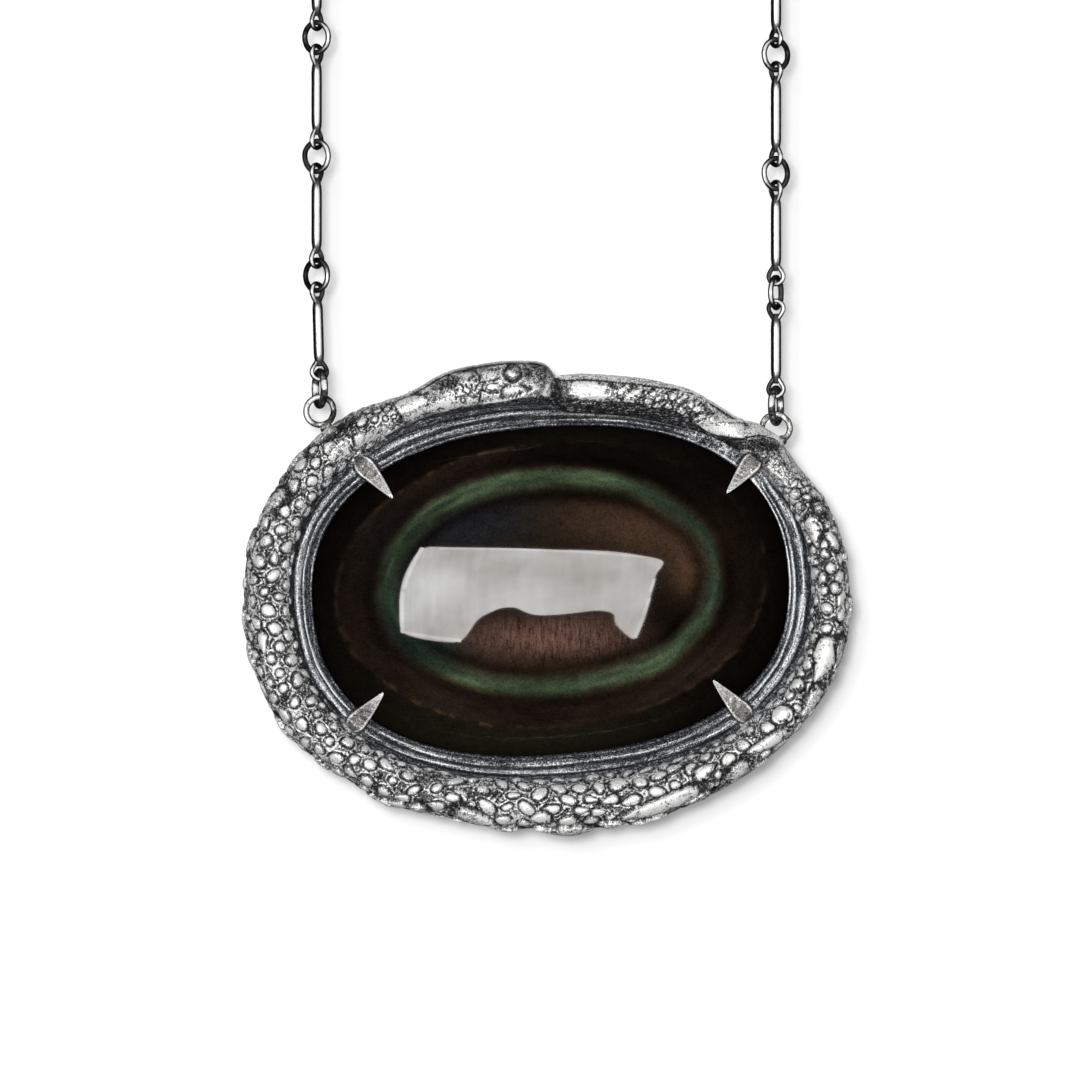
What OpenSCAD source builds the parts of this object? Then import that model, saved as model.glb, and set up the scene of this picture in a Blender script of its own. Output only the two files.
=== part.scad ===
// Snake necklace. A large oval cabochon sits in a ridged bezel, ringed by a scaled snake
// whose head meets its own tail at the top. Two soldered eyelets hang the pendant from
// jump rings on a whole loop of bar-and-ring chain with a plain barrel clasp.
// Millimetres. +X right, +Y to the back, +Z up. The origin is the underside of the clasp,
// where the loop hangs.
//
// Places on the pendant are given by a clock angle, counted clockwise from the top as seen
// from the front, and by a distance outward from the edge of the oval.

/* [Stone] */
// Half length of the stone's visible oval
oval_half_length = 21.4; // [20.8:0.1:22]
// Half height of the stone's visible oval
oval_half_height = 14.7; // [14.2:0.1:15.2]
// Squareness of the oval, where 2 is an ellipse
oval_power = 2.35; // [2.1:0.05:2.5]
// Tilt of the oval, right end up, in degrees
oval_tilt = 4.7; // [3:0.1:6]
// Height of the dome above the girdle
dome_height = 6.6; // [6:0.1:7.2]
// Fullness of the dome's profile, where 2 is an ellipse
dome_power = 2.1; // [2:0.05:2.3]

/* [Snake] */
// Height of the body's crest above its flat back
body_crest = 6.5; // [6:0.1:7]
// Distance from one scale to the next along the body
scale_pitch = 1.5; // [1.4:0.05:1.8]
// How far a scale stands out of the groove round it
scale_rise = 0.42; // [0:0.02:0.5]
// How far a large scale stands out of the body
large_scale_rise = 0.45; // [0:0.05:0.6]

/* [Setting] */
// Thickness of the back plate
plate_thickness = 0.6; // [0.4:0.1:0.8]
// Height of the bezel's ridges above the back
bezel_height = 3.95; // [3.8:0.05:4.1]
// Depth of the grooves between the ridges
groove_depth = 0.45; // [0.2:0.05:0.6]
// Width of a claw at its root
claw_width = 1.5; // [1.2:0.1:1.7]

/* [Eyelets and jump rings] */
// Outside diameter of a soldered eyelet
eyelet_outside = 3.04; // [2.9:0.02:3.2]
// Wire of a soldered eyelet
eyelet_wire = 0.54; // [0.5:0.02:0.6]
// Outside diameter of a jump ring
jump_outside = 3.7; // [3.6:0.05:3.8]
// Wire of a jump ring
jump_wire = 0.68; // [0.6:0.02:0.7]
// Free space between wires that hang in each other
wire_gap = 0.12; // [0.1:0.01:0.16]

/* [Chain] */
// Distance from one ring to the next
link_pitch = 10.7; // [10.4:0.1:11]
// Links down each side, counted from the clasp
links_each_side = 20; // [16:1:22]
// Half the distance between the two hanging strands
loop_radius = 20.67; // [20.4:0.01:20.9]
// Diameter of a bar
bar_diameter = 0.94; // [0.8:0.02:1.1]
// Outside diameter of the eye at a bar's end
eye_outside = 1.84; // [1.8:0.01:1.9]
// Wire of an eye
eye_wire = 0.44; // [0.4:0.01:0.46]
// Outside diameter of a ring between bars
ring_outside = 3.2; // [3.1:0.05:3.3]
// Wire of a ring between bars
ring_wire = 0.5; // [0.44:0.02:0.52]
// Diameter of the clasp's barrel
clasp_diameter = 3.2; // [2.8:0.1:3.6]

/* [Hidden] */

// The snake from its snout over the tail's tip, clockwise round to the head
snake_outline = [
    // clock angle, inner foot, outer edge, crest as a share of body_crest
    [0, 1.8, 5.6, 0.80],
    [1.5, 1.8, 4.9, 0.62],
    [3, 1.3, 4.3, 0.66],
    [5.5, 0.9, 4.6, 0.84],
    [10, 0.8, 4.8, 0.88],
    [20, 0.8, 4.6, 0.90],
    [40, 0.8, 4.5, 0.88],
    [47, 0.9, 4.1, 0.82],
    [53, 1.0, 4.0, 0.78],
    [59, 1.0, 4.5, 0.80],
    [65, 1.2, 4.1, 0.84],
    [72, 1.7, 4.5, 0.90],
    [80, 2.0, 5.2, 0.95],
    [90, 2.1, 5.6, 0.98],
    [100, 2.3, 5.9, 1.00],
    [115, 2.4, 5.9, 1.00],
    [127, 2.4, 6.3, 1.00],
    [144, 2.4, 7.1, 1.00],
    [152, 2.4, 7.4, 1.00],
    [163, 2.3, 7.0, 1.00],
    [173, 2.2, 7.4, 1.00],
    [187, 2.1, 6.6, 1.00],
    [195, 2.1, 6.9, 1.00],
    [210, 2.0, 6.0, 1.00],
    [222, 2.0, 6.2, 1.00],
    [236, 1.9, 6.0, 1.00],
    [245, 1.8, 6.5, 1.00],
    [265, 1.8, 6.4, 1.00],
    [278, 1.9, 6.4, 1.00],
    [287, 2.0, 5.9, 1.00],
    [300, 2.3, 6.0, 0.98],
    [310, 2.4, 5.5, 0.94],
    [319, 2.5, 5.4, 0.88],
    [323, 2.3, 5.6, 0.94],
    [327, 2.1, 6.0, 1.02],
    [331, 1.9, 6.3, 1.07],
    [345, 1.9, 6.3, 1.08],
    [352, 1.8, 6.2, 1.05],
    [357, 1.8, 6.0, 0.96],
    [360, 1.8, 5.6, 0.80]];

// How the section's form changes along the snake
body_form = [
    // clock angle, inner roundness, outer roundness, share of scale_rise
    [0, 1.7, 2.8, 0.0],
    [5, 1.5, 3.2, 0.0],
    [12, 1.5, 3.2, 0.2],
    [38, 1.5, 3.0, 0.3],
    [46, 1.7, 2.4, 0.0],
    [64, 2.0, 2.2, 0.0],
    [72, 2.2, 2.2, 1.0],
    [308, 2.2, 2.2, 1.0],
    [316, 2.0, 2.4, 0.0],
    [334, 1.6, 2.8, 0.0],
    [360, 1.7, 2.8, 0.0]];

// Large raised scales, most of them on the outer edge
large_scales = [
    // clock angle, distance out, half length, half width, turn
    [76, 2.9, 1.2, 1.0, 0],
    [102, 4.4, 2.2, 1.1, 4],
    [129, 5.0, 1.3, 1.2, 0],
    [141, 5.9, 2.6, 1.1, -4],
    [152, 6.9, 2.4, 1.0, 0],
    [161, 5.7, 1.5, 1.1, -12],
    [171.5, 6.7, 1.6, 1.2, 0],
    [182, 5.7, 1.3, 1.1, 0],
    [200, 5.9, 1.8, 1.2, -12],
    [224, 5.9, 1.8, 0.9, 0],
    [245, 6.1, 1.8, 1.0, 0],
    [264, 6.1, 1.8, 1.0, 0],
    [279, 6.0, 1.0, 1.1, 0],
    [285, 5.0, 1.8, 1.1, -10],
    [301, 5.3, 1.3, 1.0, 0]];

// The smooth lobe where the body wraps over the root of the tail
lobe_path = [
    // clock angle, distance out, half width
    [43.5, 2.0, 0.12],
    [46.5, 2.1, 0.60],
    [49.5, 2.6, 0.90],
    [52.5, 3.3, 0.95],
    [55, 3.9, 0.80],
    [57.5, 4.35, 0.55],
    [60.5, 4.4, 0.20]];

claws = [
    // clock angle of the root, clock angle of the tip, distance of the root, distance of the tip
    [58.4, 58.8, 2.0, -2.3],
    [120.7, 122.1, 2.2, -2.6],
    [237.0, 235.9, 1.9, -2.6],
    [302.2, 303.9, 2.1, -2.6]];

// A claw from its root to its tip
claw_stations = [
    // way along, half width as a share of the root's, thickness, height of the underside or 0 on the stone
    [0, 0.90, 1.45, 2.90],
    [0.15, 1.00, 1.60, 2.95],
    [0.42, 0.88, 1.85, 3.05],
    [0.52, 0.80, 0.85, 4.10],
    [0.80, 0.46, 0.72, 0],
    [1, 0.10, 0.35, 0]];

// Raised plates on the side of the head
head_plates = [
    // clock angle, distance out, half length, half width, height
    [340.7, 4.05, 1.00, 0.42, 0.16],
    [340.9, 3.05, 1.15, 0.34, 0.14],
    [348.5, 3.45, 1.45, 0.42, 0.16],
    [341.0, 5.10, 1.20, 0.38, 0.12],
    [334.5, 4.10, 0.60, 0.50, 0.14],
    [330.0, 5.00, 0.45, 0.40, 0.14],
    [334.8, 5.10, 0.50, 0.36, 0.14]];

eye_place = [348.6, 4.95];
eye_radius = 0.66;
brow_radius = 0.95;

mid_height = 0.45;      // height of the widest part of a section, as a share of its crest
groove_share = 0.35;    // share of scale_rise that goes into the grooves
scales_from = 64;       // clock angles between which the body is scaled
scales_to = 316;
section_reach = 4;      // distance out at which the sections are evenly spaced
smooth_step = 1.15;     // spacing of sections where the body is smooth
arc_points = 9;         // points over the body's front in each section
stone_steps = 60;
stone_rings = 8;
girdle = 2.2;           // top of the stone's upright edge, above the back
seat_gap = 0.05;        // free space between the stone and the metal
stone_spread = 0.12;    // how far the girdle reaches under the bezel's lip

// The pendant's place in the hanging loop
eyelet_front = 2.76;                 // height of the eyelets' wire above the pendant's back
jump_left = [-20.75, 18.2];          // jump ring centres, from the stone's centre
jump_right = [20.3, 16.65];
lowest_ring_height = 10.2;           // lowest chain ring above the left jump ring
stone_shift = 0.37;                  // the stone's centre lies this far right of the loop's
ring_yaw = 37;
arc_links = 3;                       // links in a quarter turn of the loop's top
arc_step = 90 / arc_links;           // one link's share of the turn

jump_radius = (jump_outside - jump_wire) / 2;
eyelet_radius = (eyelet_outside - eyelet_wire) / 2;
ring_radius = (ring_outside - ring_wire) / 2;
eye_wire_radius = (eye_outside - eye_wire) / 2;
hole_radius = eye_outside / 2 - eye_wire;
// Distance of an eye's centre from the centre of the ring that it hangs in
eye_from_ring = ring_radius + hole_radius - ring_wire / 2 - wire_gap;
eye_from_jump = jump_radius + hole_radius - jump_wire / 2 - wire_gap;
// Height of the jump ring's centre over the eyelet wire that it holds
jump_over_wire = jump_radius - (jump_wire + eyelet_wire) / 2 - wire_gap;

drop_difference = jump_left.y - jump_right.y;
side_shift = drop_difference / 2;
arc_centre_z = clasp_diameter / 2 - loop_radius * cos(arc_step / 2);
lowest_left_z = loop_point(-node_distance(links_each_side, -1)).y;
stone_z = lowest_left_z - lowest_ring_height - jump_left.y;

function turned(v, a) = [v.x * cos(a) - v.y * sin(a), v.x * sin(a) + v.y * cos(a)];
function signed_pow(x, e) = sign(x) * pow(abs(x), e);

// The oval's edge in the pendant's own frame: [right, up]
function oval_radius(t, grow = 0) =
    let (l = turned([sin(t), cos(t)], -oval_tilt))
    pow(pow(abs(l.x) / (oval_half_length + grow), oval_power)
        + pow(abs(l.y) / (oval_half_height + grow), oval_power), -1 / oval_power);
function oval_point(t) = oval_radius(t) * [sin(t), cos(t)];
function oval_normal(t) =
    let (l = turned(oval_point(t), -oval_tilt),
         g = [signed_pow(l.x / oval_half_length, oval_power - 1) / oval_half_length,
              signed_pow(l.y / oval_half_height, oval_power - 1) / oval_half_height])
    turned(g / norm(g), oval_tilt);
function flat_point(t, d) = oval_point(t) + d * oval_normal(t);
// d out from the oval's edge, f forward of the back
function ring_point(t, d, f) =
    let (p = flat_point(t, d))
    [p.x, -f, p.y];

// A table's column at clock angle t, eased over its corners
function eased(rows, c, t) =
    let (k = [for (r = rows) [r[0], r[c]]])
    (lookup(t - 2, k) + 2 * lookup(t, k) + lookup(t + 2, k)) / 4;

// [foot, outer edge, crest, inner roundness, outer roundness, scale share]
function form_at(t) =
    [eased(snake_outline, 1, t), eased(snake_outline, 2, t), body_crest * eased(snake_outline, 3, t),
     eased(body_form, 1, t), eased(body_form, 2, t), eased(body_form, 3, t)];

// Point of a section's front at angle a, where 0 is the inner side, 90 the crest, 180 the outer side
function front_point(s, a) =
    let (mid = mid_height * s[2],
         power = a < 90 ? s[3] : s[4])
    [(s[0] + s[1]) / 2 - signed_pow(cos(a), 2 / power) * (s[1] - s[0]) / 2,
     mid + pow(sin(a), 2 / power) * (s[2] - mid)];

// The same point moved away from the body's core
function lifted(s, p, rise) =
    let (away = p - [(s[0] + s[1]) / 2, mid_height * s[2]])
    p + away * rise / max(1, norm(away));

// Height of the body's front surface at distance d
function front_height(s, d) =
    let (mid = mid_height * s[2],
         share = (d - (s[0] + s[1]) / 2) / ((s[1] - s[0]) / 2),
         power = share < 0 ? s[3] : s[4])
    mid + (s[2] - mid) * pow(max(0, 1 - pow(min(1, abs(share)), power)), 1 / power);

// Scales are centred on every third point of a section, and neighbouring sections are staggered
// by half a point, so each scale is a low six-sided dome in a net of grooves.
function scale_height(i, j, share) =
    (j % 3 == (i % 2 == 0 ? 0 : 1) ? scale_rise : -groove_share * scale_rise) * share;

// How far a large scale s lifts the body at clock angle t and distance d
function bump(s, t, d) =
    let (n = oval_normal(s[0]),
         v = flat_point(t, d) - flat_point(s[0], s[1]),
         across = v * n,
         along = v * [n.y, -n.x],
         w = turned([along, across], -s[4]))
    large_scale_rise * max(0, 1 - pow(w.x / s[2], 2) - pow(w.y / s[3], 2));
function bumps(t, d) = max([for (s = large_scales) abs(t - s[0]) < 9 ? bump(s, t, d) : 0]);

// Clock angles of n sections at even distances from t0 up to, but not at, t1
function even_angles(t0, t1, n) =
    let (fine = (t1 - t0) / 180,
         table = [for (i = 0, s = 0; i <= 180;
                       s = s + norm(flat_point(t0 + (i + 1) * fine, section_reach)
                                    - flat_point(t0 + i * fine, section_reach)), i = i + 1)
                  [s, t0 + i * fine]],
         whole = table[180][0])
    [for (i = [0:n - 1]) lookup(whole * i / n, table)];

function even_count(length, step) = 2 * round(length / step / 2);

// One section of the ring, from the stone's seat over the bezel's ridges and the snake to the back
function ring_section(clock, i) =
    let (t = clock % 360,
         s = form_at(t),
         w = s[0],
         low = bezel_height - groove_depth,
         wall = stone_spread + seat_gap + 0.03,
         bezel = [[wall, plate_thickness], [wall, 2.7], [0, 3.4], [0.14 * w, bezel_height],
                  [0.32 * w, low], [0.48 * w, bezel_height], [0.66 * w, low - 0.05],
                  [0.82 * w, bezel_height - 0.15], [0.97 * w, min(low - 0.25, s[2])]],
         arc = [for (j = [0:arc_points - 1])
             let (p = front_point(s, 180 * (j + 0.25 + (i % 2) / 2) / arc_points))
             lifted(s, p, scale_height(i, j, s[5]) + bumps(t, p.x))],
         outside = [[s[1], mid_height * s[2] * 0.5], [s[1] - 0.35, 0]])
    [for (p = concat(bezel, arc, outside)) ring_point(t, p.x, p.y)];

// Two triangles between points i, j and i + 1, j + 1 of a net
function net_faces(a, b, c, d, odd) = odd ? [[a, c, d], [a, d, b]] : [[a, c, b], [b, c, d]];

// The snake's body, the bezel and the back plate as one closed dish
module ring_body() {
    scaled = even_angles(scales_from, scales_to, even_count(104, scale_pitch / 2));
    smooth = even_angles(scales_to, scales_from + 360, even_count(45, smooth_step));
    angles = concat(scaled, smooth);
    rows = [for (i = [0:len(angles) - 1]) ring_section(angles[i], i)];
    m = len(rows);
    n = len(rows[0]);
    sides = [for (i = [0:m - 1], j = [0:n - 2])
        let (k = (i + 1) % m)
        each net_faces(k * n + j, k * n + j + 1, i * n + j, i * n + j + 1, i % 2 == 0)];
    floor_face = [for (i = [0:m - 1]) i * n];
    back_face = [for (i = [m - 1:-1:0]) i * n + n - 1];
    polyhedron([for (r = rows) each r], concat(sides, [floor_face, back_face]), convexity = 10);
}

// A solid through loops of points, closed by a flat face at each end
module loft(loops) {
    n = len(loops[0]);
    last = (len(loops) - 1) * n;
    sides = [for (i = [0:len(loops) - 2], j = [0:n - 1])
        let (m = (j + 1) % n)
        each net_faces(i * n + j, i * n + m, (i + 1) * n + j, (i + 1) * n + m, false)];
    caps = [[for (j = [0:n - 1]) j], [for (j = [n - 1:-1:0]) last + j]];
    polyhedron([for (l = loops) each l], concat(sides, caps), convexity = 10);
}

// The eye in its ring, and the plates on the side of the head
module head_details() {
    lift = front_height(form_at(eye_place[0]), eye_place[1]);
    translate(ring_point(eye_place[0], eye_place[1], lift - 0.15)) sphere(r = eye_radius, $fn = 10);
    translate(ring_point(eye_place[0], eye_place[1], lift - 0.1)) rotate([90, 0, 0])
        wire_ring(brow_radius, 0.34, 14, 5);
    for (p = head_plates) raised_plate(p);
}

// A low plate that follows the curve of the head
module raised_plate(p) {
    step = p[2] / oval_radius(p[0]) * 45;
    form = form_at(p[0]);
    hull() {
        for (side = [-1, 1], across = [-1, 1]) {
            d = p[1] + across * p[3];
            translate(ring_point(p[0] + side * step, d, front_height(form, d) - 0.4)) rotate([90, 0, 0])
                cylinder(r1 = 0.22, r2 = 0.12, h = 0.4 + p[4], $fn = 4);
        }
    }
}

module lobe() {
    count = len(lobe_path);
    centres = [for (p = lobe_path) flat_point(p[0], p[1])];
    loft([for (i = [0:count - 1])
        let (ahead = centres[min(i + 1, count - 1)] - centres[max(i - 1, 0)],
             side = [-ahead.y, ahead.x] / norm(ahead),
             w = lobe_path[i][2],
             f = front_height(form_at(lobe_path[i][0]), min(lobe_path[i][1], 3.6)))
        [for (j = [0:7])
            let (a = 45 * j, p = centres[i] + side * w * cos(a))
            [p.x, -(f + 0.1 + min(1.2, w) * (sin(a) > 0 ? 0.9 : 1.3) * sin(a)), p.y]]]);
}

// Height of the stone's surface at distance d, measured from the back
function stone_height(t, d) =
    let (r = oval_radius(t), q = (r + d) / (r + stone_spread))
    girdle + dome_height * pow(max(0, 1 - pow(q, dome_power)), 1 / dome_power);

function claw_loop(c, s) =
    let (t = c[0] + s[0] * (c[1] - c[0]),
         d = c[2] + s[0] * (c[3] - c[2]),
         under = s[3] > 0 ? s[3] : stone_height(t, d) + 0.12,
         w = claw_width / 2 * s[1],
         n = oval_normal(t),
         side = [-n.y, n.x],
         base = flat_point(t, d))
    [for (p = [[-1, 0], [-0.85, 0.45], [-0.3, 1], [0.3, 1], [0.85, 0.45], [1, 0]])
        let (q = base + side * w * p[0])
        [q.x, -(under + s[2] * p[1]), q.y]];

module claw(c) {
    loft([for (s = claw_stations) claw_loop(c, s)]);
}

module wire_ring(radius, wire, ring_fn, wire_fn) {
    rotate_extrude($fn = ring_fn) translate([radius, 0]) circle(d = wire, $fn = wire_fn);
}

// An eyelet under its jump ring, with the solder that joins it to the snake
module eyelet(jump, root) {
    centre = [jump.x, jump.y - jump_over_wire - eyelet_radius];
    foot = flat_point(root[0], root[1]);
    away = (foot - centre) / norm(foot - centre);
    rim = centre + away * eyelet_radius;
    translate([centre.x, -eyelet_front, centre.y]) rotate([90, 0, 0])
        wire_ring(eyelet_radius, eyelet_wire, 20, 8);
    hull() {
        translate([rim.x, -eyelet_front, rim.y]) sphere(r = 0.38, $fn = 6);
        translate([foot.x, -eyelet_front, foot.y]) sphere(r = 0.6, $fn = 6);
    }
}

// The pendant's own frame has the stone's centre at its origin, at the flat back
module on_pendant() {
    translate([stone_shift, eyelet_front, stone_z]) children();
}

module snake_setting() {
    color([0.55, 0.55, 0.56]) on_pendant() {
        ring_body();
        head_details();
        lobe();
        for (c = claws) claw(c);
        eyelet(jump_left, [302.5, 5.3]);
        eyelet(jump_right, [57.5, 4.0]);
    }
}

// An anticlockwise ring of the stone, q of the way out; the rings grow rounder inward
function stone_ring(q, f) =
    [for (i = [0:stone_steps - 1])
        let (t = -360 * i / stone_steps,
             l = turned([sin(t), cos(t)], -oval_tilt),
             ellipse = 1 / norm([l.x / (oval_half_length + stone_spread),
                                 l.y / (oval_half_height + stone_spread)]),
             r = q * (q * q * (oval_radius(t, stone_spread)) + (1 - q * q) * ellipse))
        [r * sin(t), -f, r * cos(t)]];

module stone() {
    dome = [for (i = [1:stone_rings])
        let (a = 90 * i / (stone_rings + 1))
        stone_ring(pow(cos(a), 2 / dome_power), girdle + dome_height * pow(sin(a), 2 / dome_power))];
    color([0.06, 0.07, 0.06]) on_pendant()
        loft(concat([stone_ring(0.97, plate_thickness + seat_gap)],
                    [stone_ring(1, plate_thickness + seat_gap + 0.5)],
                    [stone_ring(1, girdle)], dome));
}

// Distance along the loop from its top to ring k of a side, where side is -1 left or 1 right
function node_distance(k, side) = (k + 0.5) * link_pitch + side * side_shift;

// A point of the loop, [right, up], s along it from the top; negative is the left side
function loop_point(s) =
    let (a = s / link_pitch * arc_step)
    abs(a) <= 90
        ? [0, arc_centre_z] + loop_radius * [sin(a), cos(a)]
        : [sign(s) * loop_radius, arc_centre_z - (abs(s) - arc_links * link_pitch)];

module jump_ring(jump, side) {
    color("silver") on_pendant()
        translate([jump.x, -eyelet_front, jump.y]) rotate([90, 0, side * 73])
            wire_ring(jump_radius, jump_wire, 48, 24);
}

// Yaw of ring k of a side, about the strand; the rings of the arc lie in its plane
function ring_turn(k, side) =
    k < arc_links ? 0 : k < links_each_side ? side * ring_yaw : side * (side < 0 ? 42 : 68);

module chain_ring(k, side) {
    s = side * node_distance(k, side);
    p = loop_point(s);
    tangent = max(-90, min(90, s / link_pitch * arc_step)) - side * 90;
    translate([p.x, 0, p.y]) rotate([0, tangent, 0]) rotate([90, 0, ring_turn(k, side)])
        wire_ring(ring_radius, ring_wire, 48, 24);
}

// A bar between the centres of two rings, with an eye at each end
module bar(top, bottom, gaps, yaws) {
    run = top - bottom;
    whole = norm(run);
    translate([bottom.x, 0, bottom.y]) rotate([0, atan2(run.x, run.y), 0]) {
        translate([0, 0, gaps[1] + eye_wire_radius])
            cylinder(d = bar_diameter, h = whole - gaps[0] - gaps[1] - 2 * eye_wire_radius, $fn = 48);
        translate([0, 0, gaps[1]]) rotate([90, 0, yaws[1]])
            wire_ring(eye_wire_radius, eye_wire, 48, 24);
        translate([0, 0, whole - gaps[0]]) rotate([90, 0, yaws[0]])
            wire_ring(eye_wire_radius, eye_wire, 48, 24);
    }
}

module chain_side(side) {
    jump = side < 0 ? jump_left : jump_right;
    lowest = loop_point(side * node_distance(links_each_side, side));
    for (k = [0:links_each_side]) chain_ring(k, side);
    for (k = [0:links_each_side - 1])
        bar(loop_point(side * node_distance(k, side)), loop_point(side * node_distance(k + 1, side)),
            [eye_from_ring, eye_from_ring],
            [ring_turn(k, side) + 90, ring_turn(k + 1, side) + 90]);
    bar(lowest, [jump.x + stone_shift, jump.y + stone_z], [eye_from_ring, eye_from_jump],
        [ring_turn(links_each_side, side) + 90, side * 73 + 90]);
}

module chain_left() {
    color("silver") chain_side(-1);
}

module chain_right() {
    color("silver") chain_side(1);
}

// A plain barrel with an eye at each end
module clasp() {
    left = loop_point(-node_distance(0, -1));
    right = loop_point(node_distance(0, 1));
    run = right - left;
    reach = norm(run) / 2 - eye_from_ring;
    barrel = 2 * (reach - eye_wire_radius) - 1;
    middle = (left + right) / 2;
    color("silver") translate([middle.x, 0, middle.y]) rotate([0, atan2(run.x, run.y), 0]) {
        cylinder(d = clasp_diameter, h = barrel, center = true, $fn = 64);
        for (end = [-1, 1]) {
            rotate([90 - end * 90, 0, 0]) translate([0, 0, barrel / 2])
                cylinder(d1 = clasp_diameter, d2 = bar_diameter, h = 0.6, $fn = 64);
            translate([0, 0, end * reach]) rotate([90, 0, 90])
                wire_ring(eye_wire_radius, eye_wire, 48, 24);
        }
    }
}

snake_setting();
stone();
jump_ring(jump_left, -1);  // jump_ring_left
jump_ring(jump_right, 1);  // jump_ring_right
chain_left();
chain_right();
clasp();
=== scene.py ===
import math

import bmesh
import bpy
import mathutils
import numpy as np
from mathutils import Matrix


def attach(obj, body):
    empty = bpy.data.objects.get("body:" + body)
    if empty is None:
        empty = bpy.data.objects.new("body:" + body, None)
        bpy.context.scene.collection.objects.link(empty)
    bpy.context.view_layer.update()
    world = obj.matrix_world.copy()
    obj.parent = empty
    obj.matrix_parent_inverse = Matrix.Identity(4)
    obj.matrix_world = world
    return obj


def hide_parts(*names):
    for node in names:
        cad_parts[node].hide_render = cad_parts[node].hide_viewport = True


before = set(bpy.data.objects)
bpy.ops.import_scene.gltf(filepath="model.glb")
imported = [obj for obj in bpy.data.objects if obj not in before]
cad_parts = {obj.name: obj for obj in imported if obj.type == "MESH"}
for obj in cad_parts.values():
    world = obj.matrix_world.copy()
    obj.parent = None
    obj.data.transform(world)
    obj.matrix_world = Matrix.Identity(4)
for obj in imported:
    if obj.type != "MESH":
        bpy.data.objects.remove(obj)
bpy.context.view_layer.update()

# Sizes in millimetres, shared with the CAD model
STONE_X, BACK_Y, STONE_Z = 0.37, 2.76, -233.241
OVAL_LENGTH, OVAL_HEIGHT, OVAL_POWER = 21.4, 14.7, 2.35
OVAL_TILT = math.radians(4.7)
BODY_CREST = 6.5
MID_HEIGHT = 0.45
REACH = 4.0
GIRDLE, DOME_HEIGHT, DOME_POWER, STONE_SPREAD = 2.2, 6.6, 2.1, 0.12
LINK_PITCH, LINKS_EACH_SIDE, LOOP_RADIUS, ARC_LINKS = 10.7, 20, 20.67, 3
RING_RADIUS, RING_WIRE = 1.35, 0.5
EYE_RADIUS, EYE_WIRE = 0.70, 0.44
JUMP_RADIUS, JUMP_WIRE, JUMP_YAW = 1.51, 0.68, 73
EYELET_RADIUS, EYELET_WIRE = 1.25, 0.54
BAR_DIAMETER, CLASP_DIAMETER, WIRE_GAP = 0.94, 3.2, 0.12
JUMP_LEFT, JUMP_RIGHT = (-20.75, 18.2), (20.3, 16.65)
METRES = 0.001

# The photograph: millimetres to a pixel, the pixel of the oval's middle, and that of the stone's pattern.
# Tables measured in its pixels are turned into millimetres with PX.
PX = 0.09
MIDDLE_PX, MIDDLE_PY = 550.4, 590.7
PATTERN_PX, PATTERN_PY = 551, 583

rng = np.random.default_rng(7)

# The snake from its snout over the tail's tip, clockwise round to the head: clock angle in degrees, inner
# foot and outer edge in millimetres out from the oval, height as a share of BODY_CREST
SNAKE = np.array([
    [0, 1.8, 5.7, 0.84], [1.5, 1.8, 5.3, 0.72], [2.7, 1.4, 4.4, 0.60], [4, 1.1, 4.45, 0.74],
    [6, 0.9, 4.6, 0.84], [10, 0.8, 4.7, 0.88], [20, 0.8, 4.55, 0.90], [30, 0.8, 4.55, 0.90],
    [40, 0.8, 4.45, 0.88], [45, 0.9, 4.1, 0.84], [50, 1.0, 3.8, 0.80], [56, 1.0, 4.2, 0.80],
    [60, 1.0, 4.4, 0.80], [65, 1.2, 4.1, 0.84], [70, 1.6, 4.3, 0.88], [75, 1.8, 4.8, 0.92],
    [80, 2.0, 5.1, 0.95], [90, 2.1, 5.4, 0.98], [100, 2.3, 5.7, 1.00], [115, 2.4, 5.7, 1.00],
    [127, 2.4, 6.1, 1.00], [144, 2.4, 6.7, 1.00], [155, 2.3, 6.9, 1.00], [165, 2.2, 6.8, 1.00],
    [175, 2.2, 6.9, 1.00], [187, 2.1, 6.4, 1.00], [196, 2.0, 6.5, 1.00], [210, 2.0, 5.9, 1.00],
    [222, 2.0, 6.0, 1.00], [233, 1.9, 5.7, 1.00], [245, 1.8, 6.1, 1.00], [265, 1.8, 6.1, 1.00],
    [278, 1.9, 6.0, 1.00], [287, 2.0, 5.7, 1.00], [300, 2.3, 5.9, 0.98], [308, 2.4, 5.7, 0.95],
    [312, 2.4, 5.4, 0.92], [319, 2.5, 5.35, 0.90], [323, 2.4, 5.6, 0.94], [327, 2.3, 6.0, 1.02],
    [331, 2.2, 6.25, 1.07], [345, 2.1, 6.3, 1.08], [352, 2.0, 6.15, 1.05], [357, 1.9, 6.0, 0.98],
    [360, 1.8, 5.7, 0.84]])
# Its form: clock angle, roundness of the inner and the outer flank, share and size of the small scales
FORM = np.array([
    [0, 2.4, 2.8, 0.0, 0.5], [3, 1.7, 2.8, 0.0, 0.5], [6, 1.5, 3.2, 0.0, 0.5],
    [17, 1.5, 3.2, 0.14, 0.72], [38, 1.5, 3.0, 0.26, 0.72], [44, 1.7, 2.4, 0.1, 0.6],
    [66, 2.0, 2.2, 0.1, 0.6], [71, 2.3, 2.2, 1.0, 0.8], [76, 2.3, 2.2, 1.0, 1.0],
    [304, 2.3, 2.2, 1.0, 1.0], [309, 2.3, 2.2, 0.8, 0.6], [315, 2.4, 2.4, 0.3, 0.5],
    [317, 2.4, 2.4, 0.0, 0.5], [330, 3.0, 2.6, 0.0, 0.5], [352, 3.0, 2.6, 0.0, 0.5],
    [360, 2.4, 2.8, 0.0, 0.5]])

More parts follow.
